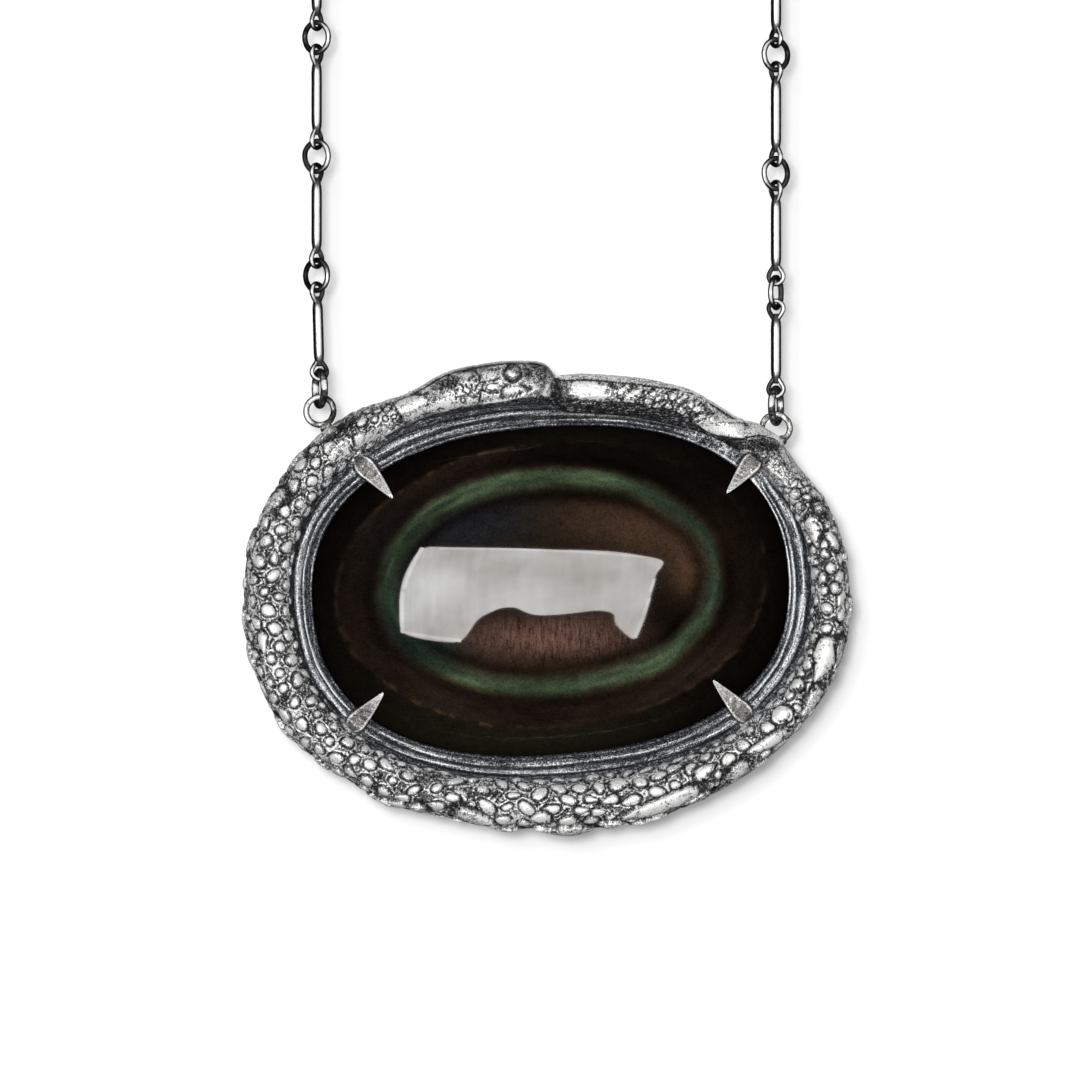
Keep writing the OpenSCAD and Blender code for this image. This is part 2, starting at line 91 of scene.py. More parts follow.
# Lines cut into the head, the tail and the twist, as places in the photograph's pixels.
# width in pixels, depth in mm (below 0 a raised bright line), places
LINES = [
    (1.3, 0.16, [(480.5, 391), (480.2, 402.7)]),
    (1.2, 0.13, [(484.1, 383.9), (481.9, 391.6), (489.7, 394.4), (498.5, 393.3)]),
    (1.0, 0.10, [(487.6, 385.5), (486.3, 389.4), (490, 392), (497, 391.5)]),
    (1.0, 0.08, [(488, 384.6), (494, 383.5), (499, 384.5)]),
    (1.2, 0.12, [(480.8, 383), (487.4, 382.6), (495.2, 380.6), (502, 377)]),
    (1.0, -0.10, [(480.8, 381), (487.4, 380.2), (495.2, 378), (503, 374.6), (508.5, 375.2)]),
    (1.4, 0.16, [(504.1, 387.6), (509.6, 385.6), (517.4, 385.1), (523, 383.6)]),
    (1.4, 0.14, [(501.3, 392), (501.5, 397), (503.6, 400)]),
    (1.3, -0.10, [(519.6, 381.6), (524, 381.2), (530.7, 382.7), (538, 389)]),
    (1.3, 0.13, [(519.5, 384.6), (524.5, 386.2), (527, 389), (532, 390)]),
    (1.2, -0.10, [(538.5, 389.4), (529.6, 393.8), (519.6, 397.7), (503, 401.1), (484, 404)]),
    (1.0, 0.10, [(513, 398), (516, 393.5)]), (1.0, 0.10, [(516.5, 397.5), (519.5, 392.5)]),
    (1.0, 0.10, [(520, 396), (522.5, 392.5)]), (1.0, 0.08, [(509.5, 398.5), (512, 395.5)]),
    (1.2, 0.12, [(463, 371.6), (469.7, 370.5), (476.3, 372.2), (479.7, 376.1), (480.2, 380.5)]),
    (1.2, 0.12, [(469.7, 381.5), (471, 378), (474.1, 376.1), (476.3, 380.5), (479.7, 381.6)]),
    (1.2, 0.12, [(460.8, 385), (464.1, 388.3), (463, 391.6), (468.6, 395), (471.9, 392.5), (470, 389.5)]),
    (1.2, 0.12, [(471.9, 386), (472.5, 390), (475.2, 391.6), (477.5, 387), (479.7, 384.4)]),
    (1.2, 0.12, [(463, 396.5), (469.7, 397.2), (475, 398.6), (477.4, 396.5), (479.7, 392.7)]),
    (1.2, 0.12, [(460.8, 397.3), (461.4, 402.3), (464.2, 404.3), (466.3, 402), (464.7, 398.8)]),
    (1.0, 0.10, [(466.5, 384.5), (467.5, 388)]), (1.4, 0.08, [(458.3, 390.3), (457.6, 391)]),
    (1.4, 0.08, [(456.4, 393.8), (456, 394.6)]), (1.4, 0.08, [(457.7, 398.3), (457.2, 399.2)]),
    (1.5, 0.12, [(394.2, 401), (396.5, 397.5), (401, 395.3), (408, 394.6), (419.7, 395.4), (428, 394)]),
    (1.5, 0.12, [(393.4, 403), (396, 409.5), (401.5, 416.5), (403, 421)]),
    (1.0, -0.08, [(398, 392.6), (408, 391.6), (419, 391.8), (430, 388)]),
    (1.1, 0.08, [(394, 394.6), (404, 391), (414.2, 389.6), (430.8, 383.3), (441.9, 376.6), (452, 371.8)]),
    (1.2, 0.10, [(437.5, 411), (440, 409.3), (444, 410)]),
    (1.0, -0.08, [(489.7, 368.9), (495.5, 368), (501.3, 367)]),
    (1.1, 0.08, [(488, 370.8), (496, 370), (502.5, 369.4)]),
    (1.6, 0.12, [(549, 366), (554.5, 371), (556, 379), (556.5, 388)]),
    (1.3, -0.10, [(549, 383), (547, 390), (545.5, 398), (543.5, 405)]),
    (1.5, -0.12, [(557.5, 378.5), (563, 374.8), (568.5, 372.6)]),
    (1.6, 0.16, [(563.5, 380.5), (568.2, 377.9), (579, 376.3), (590.4, 376.4), (617, 379.6), (645.9, 382),
                 (668.1, 384.8), (684.7, 390.6), (706.9, 400)]),
    (1.3, -0.10, [(662.5, 388.6), (672, 389.6), (679.2, 392), (695.8, 397.4), (706.9, 404.2), (712, 410)]),
    (1.8, 0.18, [(560, 399.5), (568.2, 400.5), (590.4, 403.3), (612.6, 404.4), (634.8, 405.5), (651.4, 409.7),
                 (673.6, 410.6)]),
    (1.4, -0.08, [(552, 413), (579.3, 416.6), (601.5, 419.9), (629.2, 421), (657, 427.7), (668, 431)]),
    # The wide dark line here is the lobe's painted shadow, cut in a little
    (3.6, 0.22, [(698, 428), (705, 437), (713.5, 441), (725, 442), (734, 445.6), (741, 445.4),
                 (750, 442.5), (760, 441.2), (771, 442.6), (780, 445)]),
    (1.3, -0.10, [(692, 421.5), (701, 417.6), (710, 416.4)]),
    (1.6, 0.14, [(696, 415), (706, 412.5), (713, 414)]),
    (1.5, -0.12, [(768, 467), (773, 472.5), (781, 479), (788, 486)])]

# Small rings cut on the back of the head: place and radius in pixels
SMALL_RINGS = [(445.3, 383.9, 3.0), (450.8, 378.9, 2.6), (455.2, 382.9, 2.2), (453.5, 387, 2.0),
               (449, 374.2, 1.8), (527, 372.5, 2.2), (530.5, 376.5, 2.0), (524.5, 368.2, 1.8)]

# Bright and dark patches: place, half width, half height in pixels, turn, change of tone, rise in mm.
# Some dark ones are painted shade: (556, 392) and (566, 387) where the tail comes out from behind the head,
# the five from (741, 446.5) to (772, 452) under the lobe, and (349, 424) in the hollow by the left eyelet.
PATCHES = [
    (410, 405, 18, 9, -20, 0.42, 0.14), (446, 406, 34, 4.5, -12, 0.34, 0),
    (436, 394, 13, 8, -20, -0.20, -0.03), (449, 384, 15, 8, -25, -0.14, 0), (466, 389, 10, 13, 0, 0.30, 0),
    (488.5, 375, 9, 4, -5, 0.42, 0.04), (493.5, 388.3, 5, 3.4, -3, 0.42, 0.05),
    (490, 398, 10, 4.5, -4, 0.34, 0), (514, 391.5, 12.5, 4.6, -8, 0.50, 0.12),
    (533.5, 386.6, 4.5, 2.6, 35, 0.40, 0.05), (541, 372, 14, 9, 12, -0.36, 0),
    (470, 374, 16, 5, -12, 0.14, 0), (527, 389.6, 3.5, 2, -20, -0.5, -0.05), (547, 392, 4, 9, 5, 0.60, 0),
    (556, 392, 7, 15, 0, -0.35, 0), (591, 391, 24, 10.5, 6, 0.55, 0.05),
    (575, 391, 3, 2.6, 0, -0.35, -0.06), (582.5, 395.5, 3, 1.6, 0, -0.35, -0.05),
    (589, 394, 2, 2.5, 0, -0.25, -0.04), (601, 384.5, 3.5, 1.6, 20, -0.35, -0.05),
    (607, 392.5, 3.4, 3, 0, -0.35, -0.06), (611, 384, 2, 2, 0, -0.30, -0.04),
    (566, 387, 5, 10, 0, -0.12, 0), (741, 446.5, 22, 4, 2, -0.45, 0), (712, 441, 16, 5, 25, -0.40, 0),
    (764, 446.5, 20, 5, 6, -0.55, 0), (758, 456, 15, 11, 35, -0.22, 0), (772, 452, 12, 7, 45, -0.25, 0),
    (747, 452, 6, 2.6, 10, 0.35, 0), (690, 412, 12, 5, 25, -0.25, 0), (366, 441, 12, 12, 0, 0.18, 0),
    (384, 430, 12, 7, -35, 0.20, 0), (349, 424, 13, 6, -50, -0.25, 0)]

# Spots where the scales run out into plain grainy metal: place, half width, half height, turn, tone change.
# The dark one at (346, 419), in the hollow by the left eyelet, is painted shade.
PLAIN_SPOTS = [(346, 419, 17, 9, -28, -0.22), (340, 452, 16, 9, -42, 0.05), (352, 470, 8, 16, 35, 0.02),
               (742, 690, 17, 10, -42, -0.05), (358, 706, 14, 10, 38, 0.02), (372, 436, 9, 6, -30, 0.15)]

# Where the lit face ends towards the stone: below it the metal is painted black as shade, with bright specks
FACE_EDGE = [(372, 455), (378, 447), (386, 440.5), (397, 433), (406, 427.5), (420, 420), (435.8, 414.5),
             (445.3, 412.7), (456.4, 409.4), (480.8, 405.5), (503, 402.7), (525.2, 398.8), (540.7, 396),
             (550, 398), (560, 399.5), (568.2, 400.3), (590.4, 403.1), (612.6, 404.2), (634.8, 405.3),
             (651.4, 409.7), (673.6, 411), (690, 419), (700, 431), (714, 440.5), (727, 444), (742, 449)]
EYE_PLACE, EYE_SIZE = (513, 374), 9.2

# The bezel's rails: clock angle, the grooves between the rails and the outer edge in pixels, brightness of
# the three rails, depth of the two grooves
RAILS = np.array([
    [0, 4.5, 9, 19, 0.34, 0.28, 0.26, 0.3, 1.0], [15, 4, 9, 13, 0.34, 0.26, 0.26, 0.4, 1.0],
    [35, 4, 9, 12, 0.40, 0.40, 0.40, 0.4, 0.7], [44, 5, 12, 13, 0.5, 0.5, 0.5, 0.3, 0.5],
    [60, 5, 12, 14, 0.5, 0.5, 0.5, 0.3, 0.5], [66, 3, 6, 14, 0.45, 0.5, 0.5, 0.6, 0.7],
    [75, 3, 8, 20, 0.35, 0.55, 0.5, 0.6, 0.7], [95, 4, 9, 21, 0.25, 0.60, 0.50, 0.6, 0.6],
    [112, 5, 10, 20, 0.16, 0.55, 0.50, 0.5, 0.8], [130, 5, 12, 22, 0.16, 0.45, 0.44, 0.6, 0.9],
    [150, 5, 13, 21, 0.12, 0.40, 0.40, 0.7, 1.0], [180, 5, 13, 21, 0.12, 0.44, 0.42, 0.6, 1.0],
    [205, 5, 12, 20, 0.12, 0.42, 0.42, 0.8, 1.0], [230, 4, 10, 18, 0.14, 0.44, 0.44, 0.7, 0.8],
    [245, 5, 9, 18, 0.06, 0.62, 0.64, 0.4, 0.8], [262, 7, 10.5, 18.5, 0.0, 0.78, 0.66, 0.2, 0.8],
    [280, 7, 11, 20, 0.0, 0.74, 0.64, 0.2, 0.8], [300, 5.5, 10.5, 19.5, 0.06, 0.62, 0.58, 0.6, 0.9],
    [315, 5, 12, 23, 0.26, 0.36, 0.44, 0.8, 1.0], [335, 6, 13, 22, 0.34, 0.36, 0.34, 0.7, 1.0],
    [350, 5, 11, 20, 0.32, 0.30, 0.26, 0.4, 1.0], [360, 4.5, 9, 19, 0.34, 0.28, 0.26, 0.3, 1.0]])

# The claws: clock angle of the root and the tip, and how far out from the oval each of them lies
CLAWS = [[58.4, 58.8, 2.0, -2.3], [120.7, 122.1, 2.2, -2.6],
         [237.0, 235.9, 1.9, -2.6], [302.2, 303.9, 2.1, -2.6]]
# The outline of a claw: share of its length, and half its width there
CLAW_ALONG = [0, 0.012, 0.035, 0.07, 0.12, 0.18, 0.26, 0.45, 0.75, 0.965, 0.985, 1]
CLAW_HALF = [0.14, 0.40, 0.60, 0.76, 0.87, 0.93, 0.92, 0.74, 0.42, 0.15, 0.10, 0.03]
# How thick it is: share of its length, and the thickness there
CLAW_THICK_ALONG = [0, 0.04, 0.12, 0.3, 0.6, 0.9, 1]
CLAW_THICK = [0.35, 0.75, 1.0, 1.05, 0.85, 0.45, 0.22]


# Numbers and noise
def smooth(x, low, high):
    q = np.clip((x - low) / (high - low), 0, 1)
    return q * q * (3 - 2 * q)


def window(x, low, full, fading, gone):
    """Rises from low to full, and falls again from fading to gone."""
    return smooth(x, low, full) * smooth(x, gone, fading)


def peak(x, middle, width):
    return np.exp(-((x - middle) / width) ** 2)


def mix(a, b, share):
    return a + (b - a) * share


def unit(v):
    return v / np.maximum(1e-12, np.linalg.norm(v, axis=-1, keepdims=True))


def turned(x, y, angle):
    return x * math.cos(angle) + y * math.sin(angle), -x * math.sin(angle) + y * math.cos(angle)


def from_oval(x, y, half_width, half_height, turn=0):
    """How far from the middle of an oval a place is, 1 at its edge. The oval is turned by degrees."""
    x, y = turned(x, y, math.radians(turn))
    return np.hypot(x / half_width, y / half_height)


def circle(count):
    return np.linspace(0, 2 * math.pi, count, endpoint=False)


NOISE_SIZE = 256
NOISE_TABLE = rng.random((NOISE_SIZE, NOISE_SIZE))


def value_noise(x, y, seed=0):
    """Smooth noise from 0 to 1, about one bump a unit."""
    x = x + 17.3 * seed
    y = y + 41.7 * seed
    xi = np.floor(x).astype(int)
    yi = np.floor(y).astype(int)
    fx = smooth(x - xi, 0, 1)
    fy = smooth(y - yi, 0, 1)

    def corner(i, j):
        return NOISE_TABLE[(xi + i) % NOISE_SIZE, (yi + j) % NOISE_SIZE]

    return mix(mix(corner(0, 0), corner(1, 0), fx), mix(corner(0, 1), corner(1, 1), fx), fy)


def layered_noise(x, y, seed=0, layers=3):
    total = 0
    weight = 0
    for k in range(layers):
        total += value_noise(x * 2 ** k, y * 2 ** k, seed + 3 * k) / 2 ** k
        weight += 1 / 2 ** k
    return total / weight


def uneven(x, y, seed, layers=1):
    """Layered noise about 0."""
    return layered_noise(x, y, seed, layers) - 0.5


# The oval, and places round it
def oval_radius(t, grow=0.0):
    x, z = turned(np.sin(t), np.cos(t), OVAL_TILT)
    total = (np.abs(x / (OVAL_LENGTH + grow)) ** OVAL_POWER
             + np.abs(z / (OVAL_HEIGHT + grow)) ** OVAL_POWER)
    return total ** (-1 / OVAL_POWER)


def oval_point(t):
    r = oval_radius(t)
    return np.stack([r * np.sin(t), r * np.cos(t)], -1)


def oval_normal(t):
    along = oval_point(t + 1e-4) - oval_point(t - 1e-4)
    return unit(np.stack([-along[..., 1], along[..., 0]], -1))


def raised(flat, f):
    """Flat places (x, z) at the height f forward of the back: (x, f, z)."""
    return np.stack([flat[..., 0], np.broadcast_to(f, flat.shape[:-1]), flat[..., 1]], -1)


def ring_place(t, d, f):
    """Points d out from the oval's edge at clock angle t, f forward of the back."""
    return raised(oval_point(t) + np.asarray(d)[..., None] * oval_normal(t), f)


def to_world(p):
    """(x, f, z) in the pendant's own millimetres to metres in the row frame."""
    return np.stack([p[..., 0] + STONE_X, BACK_Y - p[..., 1], p[..., 2] + STONE_Z], -1) * METRES


# The oval in short steps, and the distance along the snake at each of them
fine_t = np.linspace(0, 2 * math.pi, 7201)
fine_clock = np.degrees(fine_t)
fine_oval = oval_point(fine_t)
fine_path = fine_oval + REACH * oval_normal(fine_t)
fine_s = np.concatenate([[0], np.cumsum(np.linalg.norm(np.diff(fine_path, axis=0), axis=1))])
RING_LENGTH = fine_s[-1]


def along_of(clock):
    """Distance along the snake at a clock angle in degrees."""
    return np.interp(clock, fine_clock, fine_s)


def wrapped(ds):
    return (ds + RING_LENGTH / 2) % RING_LENGTH - RING_LENGTH / 2


def table_at(rows, column, clock):
    """A table's column, eased over its corners and closed at the top."""
    keys = np.concatenate([rows[:-1, 0] - 360, rows[:, 0], rows[1:, 0] + 360])
    values = np.concatenate([rows[:-1, column], rows[:, column], rows[1:, column]])
    return sum(share * np.interp(clock + shift, keys, values)
               for shift, share in ((-1.2, 0.25), (0, 0.5), (1.2, 0.25)))


def columns_at(rows, clock):
    """All columns of a table after the first, which is the clock angle."""
    return [np.interp(clock, rows[:, 0], column) for column in rows.T[1:]]


# The pendant's places in the photograph, and back
def photo_place(p):
    return MIDDLE_PX + p[..., 0] / PX, MIDDLE_PY - p[..., 2] / PX


def from_photo(px, py):
    """A pixel's place beside and above the oval's middle, in millimetres."""
    return (px - MIDDLE_PX) * PX, (MIDDLE_PY - py) * PX


def photo_point(px, py, f):
    """A pixel's place in the pendant, f forward of the back."""
    return raised(np.stack(from_photo(px, py), -1), f)


def photo_polar(px, py):
    """Clock angle and distance out, in pixels, of a place in the photograph."""
    x, z = from_photo(px, py)
    away = np.hypot(fine_oval[:, 0] - x, fine_oval[:, 1] - z)
    nearest = int(np.argmin(away))
    return math.degrees(fine_t[nearest]), away[nearest] / PX


def claw_shade(px, py):
    """Painted shadow of the nearest claw: how much it darkens a place of the photograph, most within the
    claw's outline.
    """
    nearest = np.full(np.shape(px), 99.0)
    for root_clock, tip_clock, root_d, tip_d in CLAWS:
        root = photo_place(ring_place(math.radians(root_clock), root_d, 0.0))
        tip = photo_place(ring_place(math.radians(tip_clock), tip_d, 0.0))
        run = np.array([tip[0] - root[0], tip[1] - root[1]])
        length = np.hypot(*run)
        k = ((px - root[0]) * run[0] + (py - root[1]) * run[1]) / length ** 2
        across = np.abs((px - root[0]) * run[1] - (py - root[1]) * run[0]) / length
        half = np.interp(k, CLAW_ALONG, CLAW_HALF) / PX
        ahead = np.maximum(0, np.abs(k - 0.5) - 0.5) * length
        nearest = np.minimum(nearest, np.hypot(np.maximum(0, across - half), ahead))
    return 0.85 * peak(nearest, 0, 1.8)


# The snake's section
def section_curve(clock, count=260):
    """Points (d, f) of the snake's section from its foot over the crest to the back, the distance along
    them, and that distance at the crest and at the widest place."""
    foot, outer = table_at(SNAKE, 1, clock), table_at(SNAKE, 2, clock)
    crest = BODY_CREST * table_at(SNAKE, 3, clock)
    inner_power, outer_power = table_at(FORM, 1, clock), table_at(FORM, 2, clock)
    a = np.linspace(0, math.pi, count)
    power = np.where(a < math.pi / 2, inner_power, outer_power)
    cosine = np.cos(a)
    d = (foot + outer) / 2 - np.sign(cosine) * np.abs(cosine) ** (2 / power) * (outer - foot) / 2
    f = MID_HEIGHT * crest + np.sin(a) ** (2 / power) * (1 - MID_HEIGHT) * crest
    below = MID_HEIGHT * crest
    d = np.concatenate([d, [outer, outer - 0.05, outer - 0.35]])
    f = np.concatenate([f, [below * 0.6, below * 0.15, 0]])
    w = np.concatenate([[0], np.cumsum(np.hypot(np.diff(d), np.diff(f)))])
    return d, f, w, w[a.size // 2], w[a.size - 1]


def surface_at(clock, out, inset=0.0):
    """Where the photograph shows the snake out pixels from the oval: along, across and forward."""
    d, f, w, _, widest = section_curve(clock)
    front = w <= widest
    at = min(out * PX, d[front].max() - inset)
    return along_of(clock), np.interp(at, d[front], w[front]), np.interp(at, d[front], f[front])


# Meshes
def put_in_scene(name, data):
    thing = bpy.data.objects.new(name, data)
    bpy.context.scene.collection.objects.link(thing)
    return thing


def mesh_object(name, points, faces, body, material, tone=None, normals=None):
    mesh = bpy.data.meshes.new(name)
    mesh.from_pydata(points.reshape(-1, 3).tolist(), [], faces)
    mesh.update()
    if tone is not None:
        layer = mesh.attributes.new("tone", "FLOAT", "POINT")
        layer.data.foreach_set("value", np.ascontiguousarray(tone, np.float32).ravel())
    mesh.polygons.foreach_set("use_smooth", [True] * len(mesh.polygons))
    if normals is not None:
        mesh.normals_split_custom_set_from_vertices(normals.reshape(-1, 3).tolist())
    mesh.materials.append(material)
    piece = put_in_scene(name, mesh)
    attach(piece, body)
    return piece


def net_faces(columns, rows, closed_columns=False, closed_rows=False, start=0):
    """Quads between columns; columns clockwise round the oval with rows outward face the front."""
    i, j = np.meshgrid(np.arange(columns if closed_columns else columns - 1),
                       np.arange(rows if closed_rows else rows - 1), indexing="ij")
    k = (i + 1) % columns
    m = (j + 1) % rows
    quads = np.stack([i * rows + j, k * rows + j, k * rows + m, i * rows + m], -1)
    return (quads.reshape(-1, 4) + start).tolist()


def joined_lofts(name, parts, body, material):
    """Lofts in one mesh. A part is its loops, their tone, and whether its ends meet."""
    points, faces, tones = [], [], []
    start = 0
    for loops, tone, closed in parts:
        count, around = loops.shape[:2]
        faces += net_faces(count, around, closed_columns=closed, closed_rows=True, start=start)
        if not closed:
            last = start + (count - 1) * around
            faces.append([start + j for j in range(around)])
            faces.append([last + j for j in range(around - 1, -1, -1)])
        points.append(loops.reshape(-1, 3))
        tones.append(tone.ravel())
        start += count * around
    piece = mesh_object(name, np.concatenate(points), faces, body, material, np.concatenate(tones))
    work = bmesh.new()
    work.from_mesh(piece.data)
    bmesh.ops.recalc_face_normals(work, faces=work.faces)
    work.to_mesh(piece.data)
    work.free()
    return piece


# Materials
def nodes_of(name):
    material = bpy.data.materials.new(name)
    material.use_nodes = True
    tree = material.node_tree
    return material, tree, tree.nodes["Principled BSDF"]


def add(tree, kind, **values):
    node = tree.nodes.new(kind)
    for key, value in values.items():
        setattr(node, key, value)
    return node


def set_inputs(node, **values):
    """Set a node's inputs; a name's spaces are written as underscores."""
    for key, value in values.items():
        node.inputs[key.replace("_", " ")].default_value = value


def ramp(tree, source, stops):
    node = add(tree, "ShaderNodeValToRGB")
    elements = node.color_ramp.elements
    while len(elements) < len(stops):
        elements.new(0.5)
    for element, (place, colour) in zip(elements, stops):
        element.position = place
        element.color = (*colour, 1)
    tree.links.new(source, node.inputs["Fac"])
    return node.outputs["Color"]


def math_node(tree, operation, a, b, clamp=False):
    node = add(tree, "ShaderNodeMath", operation=operation, use_clamp=clamp)
    for socket, value in zip(node.inputs, (a, b)):
        if isinstance(value, (int, float)):
            socket.default_value = value
        else:
            tree.links.new(value, socket)
    return node.outputs[0]


def noise_node(tree, scale, detail, roughness, upright=1.0):
    """Noise in the object's own place; upright below 1 draws it out into upright streaks."""
    node = add(tree, "ShaderNodeTexNoise")
    set_inputs(node, Scale=scale, Detail=detail, Roughness=roughness)
    place = add(tree, "ShaderNodeTexCoord").outputs["Object"]
    if upright < 1:
        squeeze = add(tree, "ShaderNodeVectorMath", operation="MULTIPLY")
        squeeze.inputs[1].default_value = (1.0, 1.0, upright)
        tree.links.new(place, squeeze.inputs[0])
        place = squeeze.outputs[0]
    tree.links.new(place, node.inputs["Vector"])
    return node.outputs["Fac"]


def swing(tree, noise, amount):
    """The noise about 0, times the amount."""
    return math_node(tree, "MULTIPLY", math_node(tree, "SUBTRACT", noise, 0.5), amount)


def silver(name, dark, mid, light, metallic=0.5, rough=(0.58, 0.36), grain=1.0, blotch=0.6, bump=0.5,
           tone=True):
    """Oxidised silver: dark where the tone is low, bright where it is high, with a fine grain. The tone holds
    the oxide in the hollows, the rubbed tops, and painted light and shade.
    """
    material, tree, shader = nodes_of(name)
    fine = noise_node(tree, 7600, 2, 0.7)
    speckle = swing(tree, fine, 1.9 * grain)
    cloud = swing(tree, noise_node(tree, 2300, 3, 0.6), blotch)
    if tone:
        attribute = add(tree, "ShaderNodeAttribute", attribute_name="tone")
        level = math_node(tree, "ADD", attribute.outputs["Fac"], speckle)
    else:
        level = math_node(tree, "ADD", speckle, 0.62)
    level = math_node(tree, "ADD", level, cloud, clamp=True)
    hollow = tuple(0.45 * v for v in mid)
    colour = ramp(tree, level, [(0.05, dark), (0.30, hollow), (0.55, mid), (0.88, light)])
    tree.links.new(colour, shader.inputs["Base Color"])
    set_inputs(shader, Metallic=metallic)
    rough_ramp = ramp(tree, level, [(0.1, (rough[0],) * 3), (0.9, (rough[1],) * 3)])
    tree.links.new(rough_ramp, shader.inputs["Roughness"])
    relief = add(tree, "ShaderNodeBump")
    set_inputs(relief, Strength=bump, Distance=0.00006)
    tree.links.new(fine, relief.inputs["Height"])
    tree.links.new(relief.outputs["Normal"], shader.inputs["Normal"])
    return material


SNAKE_SILVER = silver("oxidised_silver_snake", (0.006, 0.007, 0.008), (0.25, 0.25, 0.255),
                      (0.94, 0.94, 0.93), grain=1.35)
BEZEL_SILVER = silver("oxidised_silver_bezel", (0.006, 0.008, 0.012), (0.195, 0.205, 0.217),
                      (0.76, 0.77, 0.78), grain=1.5, blotch=0.15)
CLAW_SILVER = silver("silver_claws", (0.02, 0.02, 0.02), (0.26, 0.255, 0.245), (0.86, 0.85, 0.83),
                     grain=0.9, blotch=0.15)
CHAIN_SILVER = silver("dark_silver_chain", (0.003, 0.003, 0.004), (0.10, 0.10, 0.10), (0.88, 0.88, 0.88),
                      metallic=0.4, rough=(0.40, 0.20), grain=0.25, blotch=0.2, bump=0.15)
RING_SILVER = silver("silver_rings", (0.012, 0.012, 0.012), (0.20, 0.20, 0.19), (0.78, 0.77, 0.75),
                     rough=(0.5, 0.3), grain=0.6, blotch=0.5, bump=0.4)
BACK_SILVER = silver("satin_silver_back", (0.05, 0.05, 0.055), (0.30, 0.30, 0.31), (0.66, 0.66, 0.66),
                     rough=(0.5, 0.38), grain=0.3, blotch=0.6, bump=0.2, tone=False)

# The snake's surface: a net of columns along it, rows from its foot over the crest to the back
COLUMNS, FRONT_ROWS, BACK_ROWS = 1980, 130, 8
CREST_ROW, FRONT_SHARE = 60, 0.84


def net_normals(p):
    """Outward normals of a net that closes along the snake."""
    n = unit(np.cross(np.roll(p, -1, 0) - np.roll(p, 1, 0), np.gradient(p, axis=1)))
    return n * np.sign(n[:, CREST_ROW, 1].mean())


# The columns stand closer over the head and the tail, where the detail is finest
closeness = 1 + 0.75 * (smooth(fine_clock, 306, 316) + smooth(fine_clock, 68, 58))
counted = np.concatenate([[0], np.cumsum(np.diff(fine_s) * (closeness[1:] + closeness[:-1]) / 2)])
column_s = np.interp(np.arange(COLUMNS) * counted[-1] / COLUMNS, counted, fine_s)
column_t = np.interp(column_s, fine_s, fine_t)
column_clock = np.degrees(column_t)
share = np.concatenate([np.linspace(0, FRONT_SHARE, FRONT_ROWS),
                        np.linspace(FRONT_SHARE, 1, BACK_ROWS + 1)[1:]])
net_d = np.empty((COLUMNS, share.size))
net_f = np.empty_like(net_d)
net_w = np.empty_like(net_d)
top_w = np.empty(COLUMNS)
side_w = np.empty(COLUMNS)
for i, clock in enumerate(column_clock):
    d, f, w, top_w[i], side_w[i] = section_curve(clock)
    net_w[i] = share * w[-1]
    net_d[i] = np.interp(net_w[i], w, d)
    net_f[i] = np.interp(net_w[i], w, f)
net_s = np.broadcast_to(column_s[:, None], net_d.shape)
net_clock = np.broadcast_to(column_clock[:, None], net_d.shape)
base = ring_place(column_t[:, None], net_d, net_f)
base_normal = net_normals(base)
photo_x, photo_y = photo_place(base)
out_px = net_d / PX
past_side = net_w - side_w[:, None]
front_side = net_w < side_w[:, None] + 0.2


# The pebbles: small round scales
FILLED, PACK_STEPS, PUSH, LONGER = 0.80, 150, 0.32, 1.12
SCALED_FROM, PEBBLE_LOW = 0.08, 1.6
BLOCK_COLUMNS, BLOCK_REACH = 24, 3.4


def pack_pebbles():
    """Pebbles of mixed sizes strewn until a share of the room is filled, then pushed apart step by step
    until they lie beside each other and beside the large scales."""
    places = []
    sizes = []
    covered = 0.0
    scaled = table_at(FORM, 3, column_clock) > SCALED_FROM
    room = FILLED * ((side_w - 1.0) * np.gradient(column_s) * scaled).sum()
    while covered < room:
        s = rng.random() * RING_LENGTH
        scale_height, scale = columns_at(FORM, np.interp(s, column_s, column_clock))[2:]
        if scale_height < SCALED_FROM:
            continue
        if rng.random() > 0.25 / scale ** 2:
            continue
        high = np.interp(s, column_s, side_w) + 0.9
        size = scale * (0.60 + 0.38 * rng.random() ** 1.6)
        places.append([s, PEBBLE_LOW + rng.random() * (high - PEBBLE_LOW)])
        sizes.append(size)
        covered += math.pi * size ** 2
    p = np.array(places)
    r = np.array(sizes)
    for step in range(PACK_STEPS):
        ds = wrapped(p[:, None, 0] - p[None, :, 0]) / LONGER
        dw = p[:, None, 1] - p[None, :, 1]
        gap = np.hypot(ds, dw) + 1e-6
        overlap = np.clip(r[:, None] + r[None, :] - gap, 0, None)
        np.fill_diagonal(overlap, 0)
        push = overlap / gap * PUSH
        p[:, 0] += (push * ds).sum(1) * LONGER
        p[:, 1] += (push * dw).sum(1)
        for s, w, a, b, turn, *_ in large_places:
            x, y = turned(wrapped(p[:, 0] - s), p[:, 1] - w, turn)
            q = np.hypot(x / (a + r * 0.8), y / (b + r * 0.8)) + 1e-6
            move = np.where(q < 1, (1 / q - 1) * 0.5, 0)
            back_x, back_y = turned(move * x, move * y, -turn)
            p[:, 0] += back_x
            p[:, 1] += back_y
        p[:, 0] %= RING_LENGTH
        high = np.interp(p[:, 0], column_s, side_w) + 1.0
        p[:, 1] = np.clip(p[:, 1], 1.45 + 0.6 * r, high)
    return p, r


def scale_between(start, end, half_width, rise, taper=0):
    """The row of a large scale that the photograph shows from one pixel clockwise to another."""
    clock, out = photo_polar((start[0] + end[0]) / 2, (start[1] + end[1]) / 2)
    normal = oval_normal(math.radians(clock))
    run = np.array([end[0] - start[0], start[1] - end[1]])
    turn = math.degrees(math.atan2(run @ normal, run @ [normal[1], -normal[0]]))
    half_length = np.hypot(*run) / 2
    return [round(clock, 1), round(out, 1), round(half_length, 1), half_width, round(turn), rise, taper]


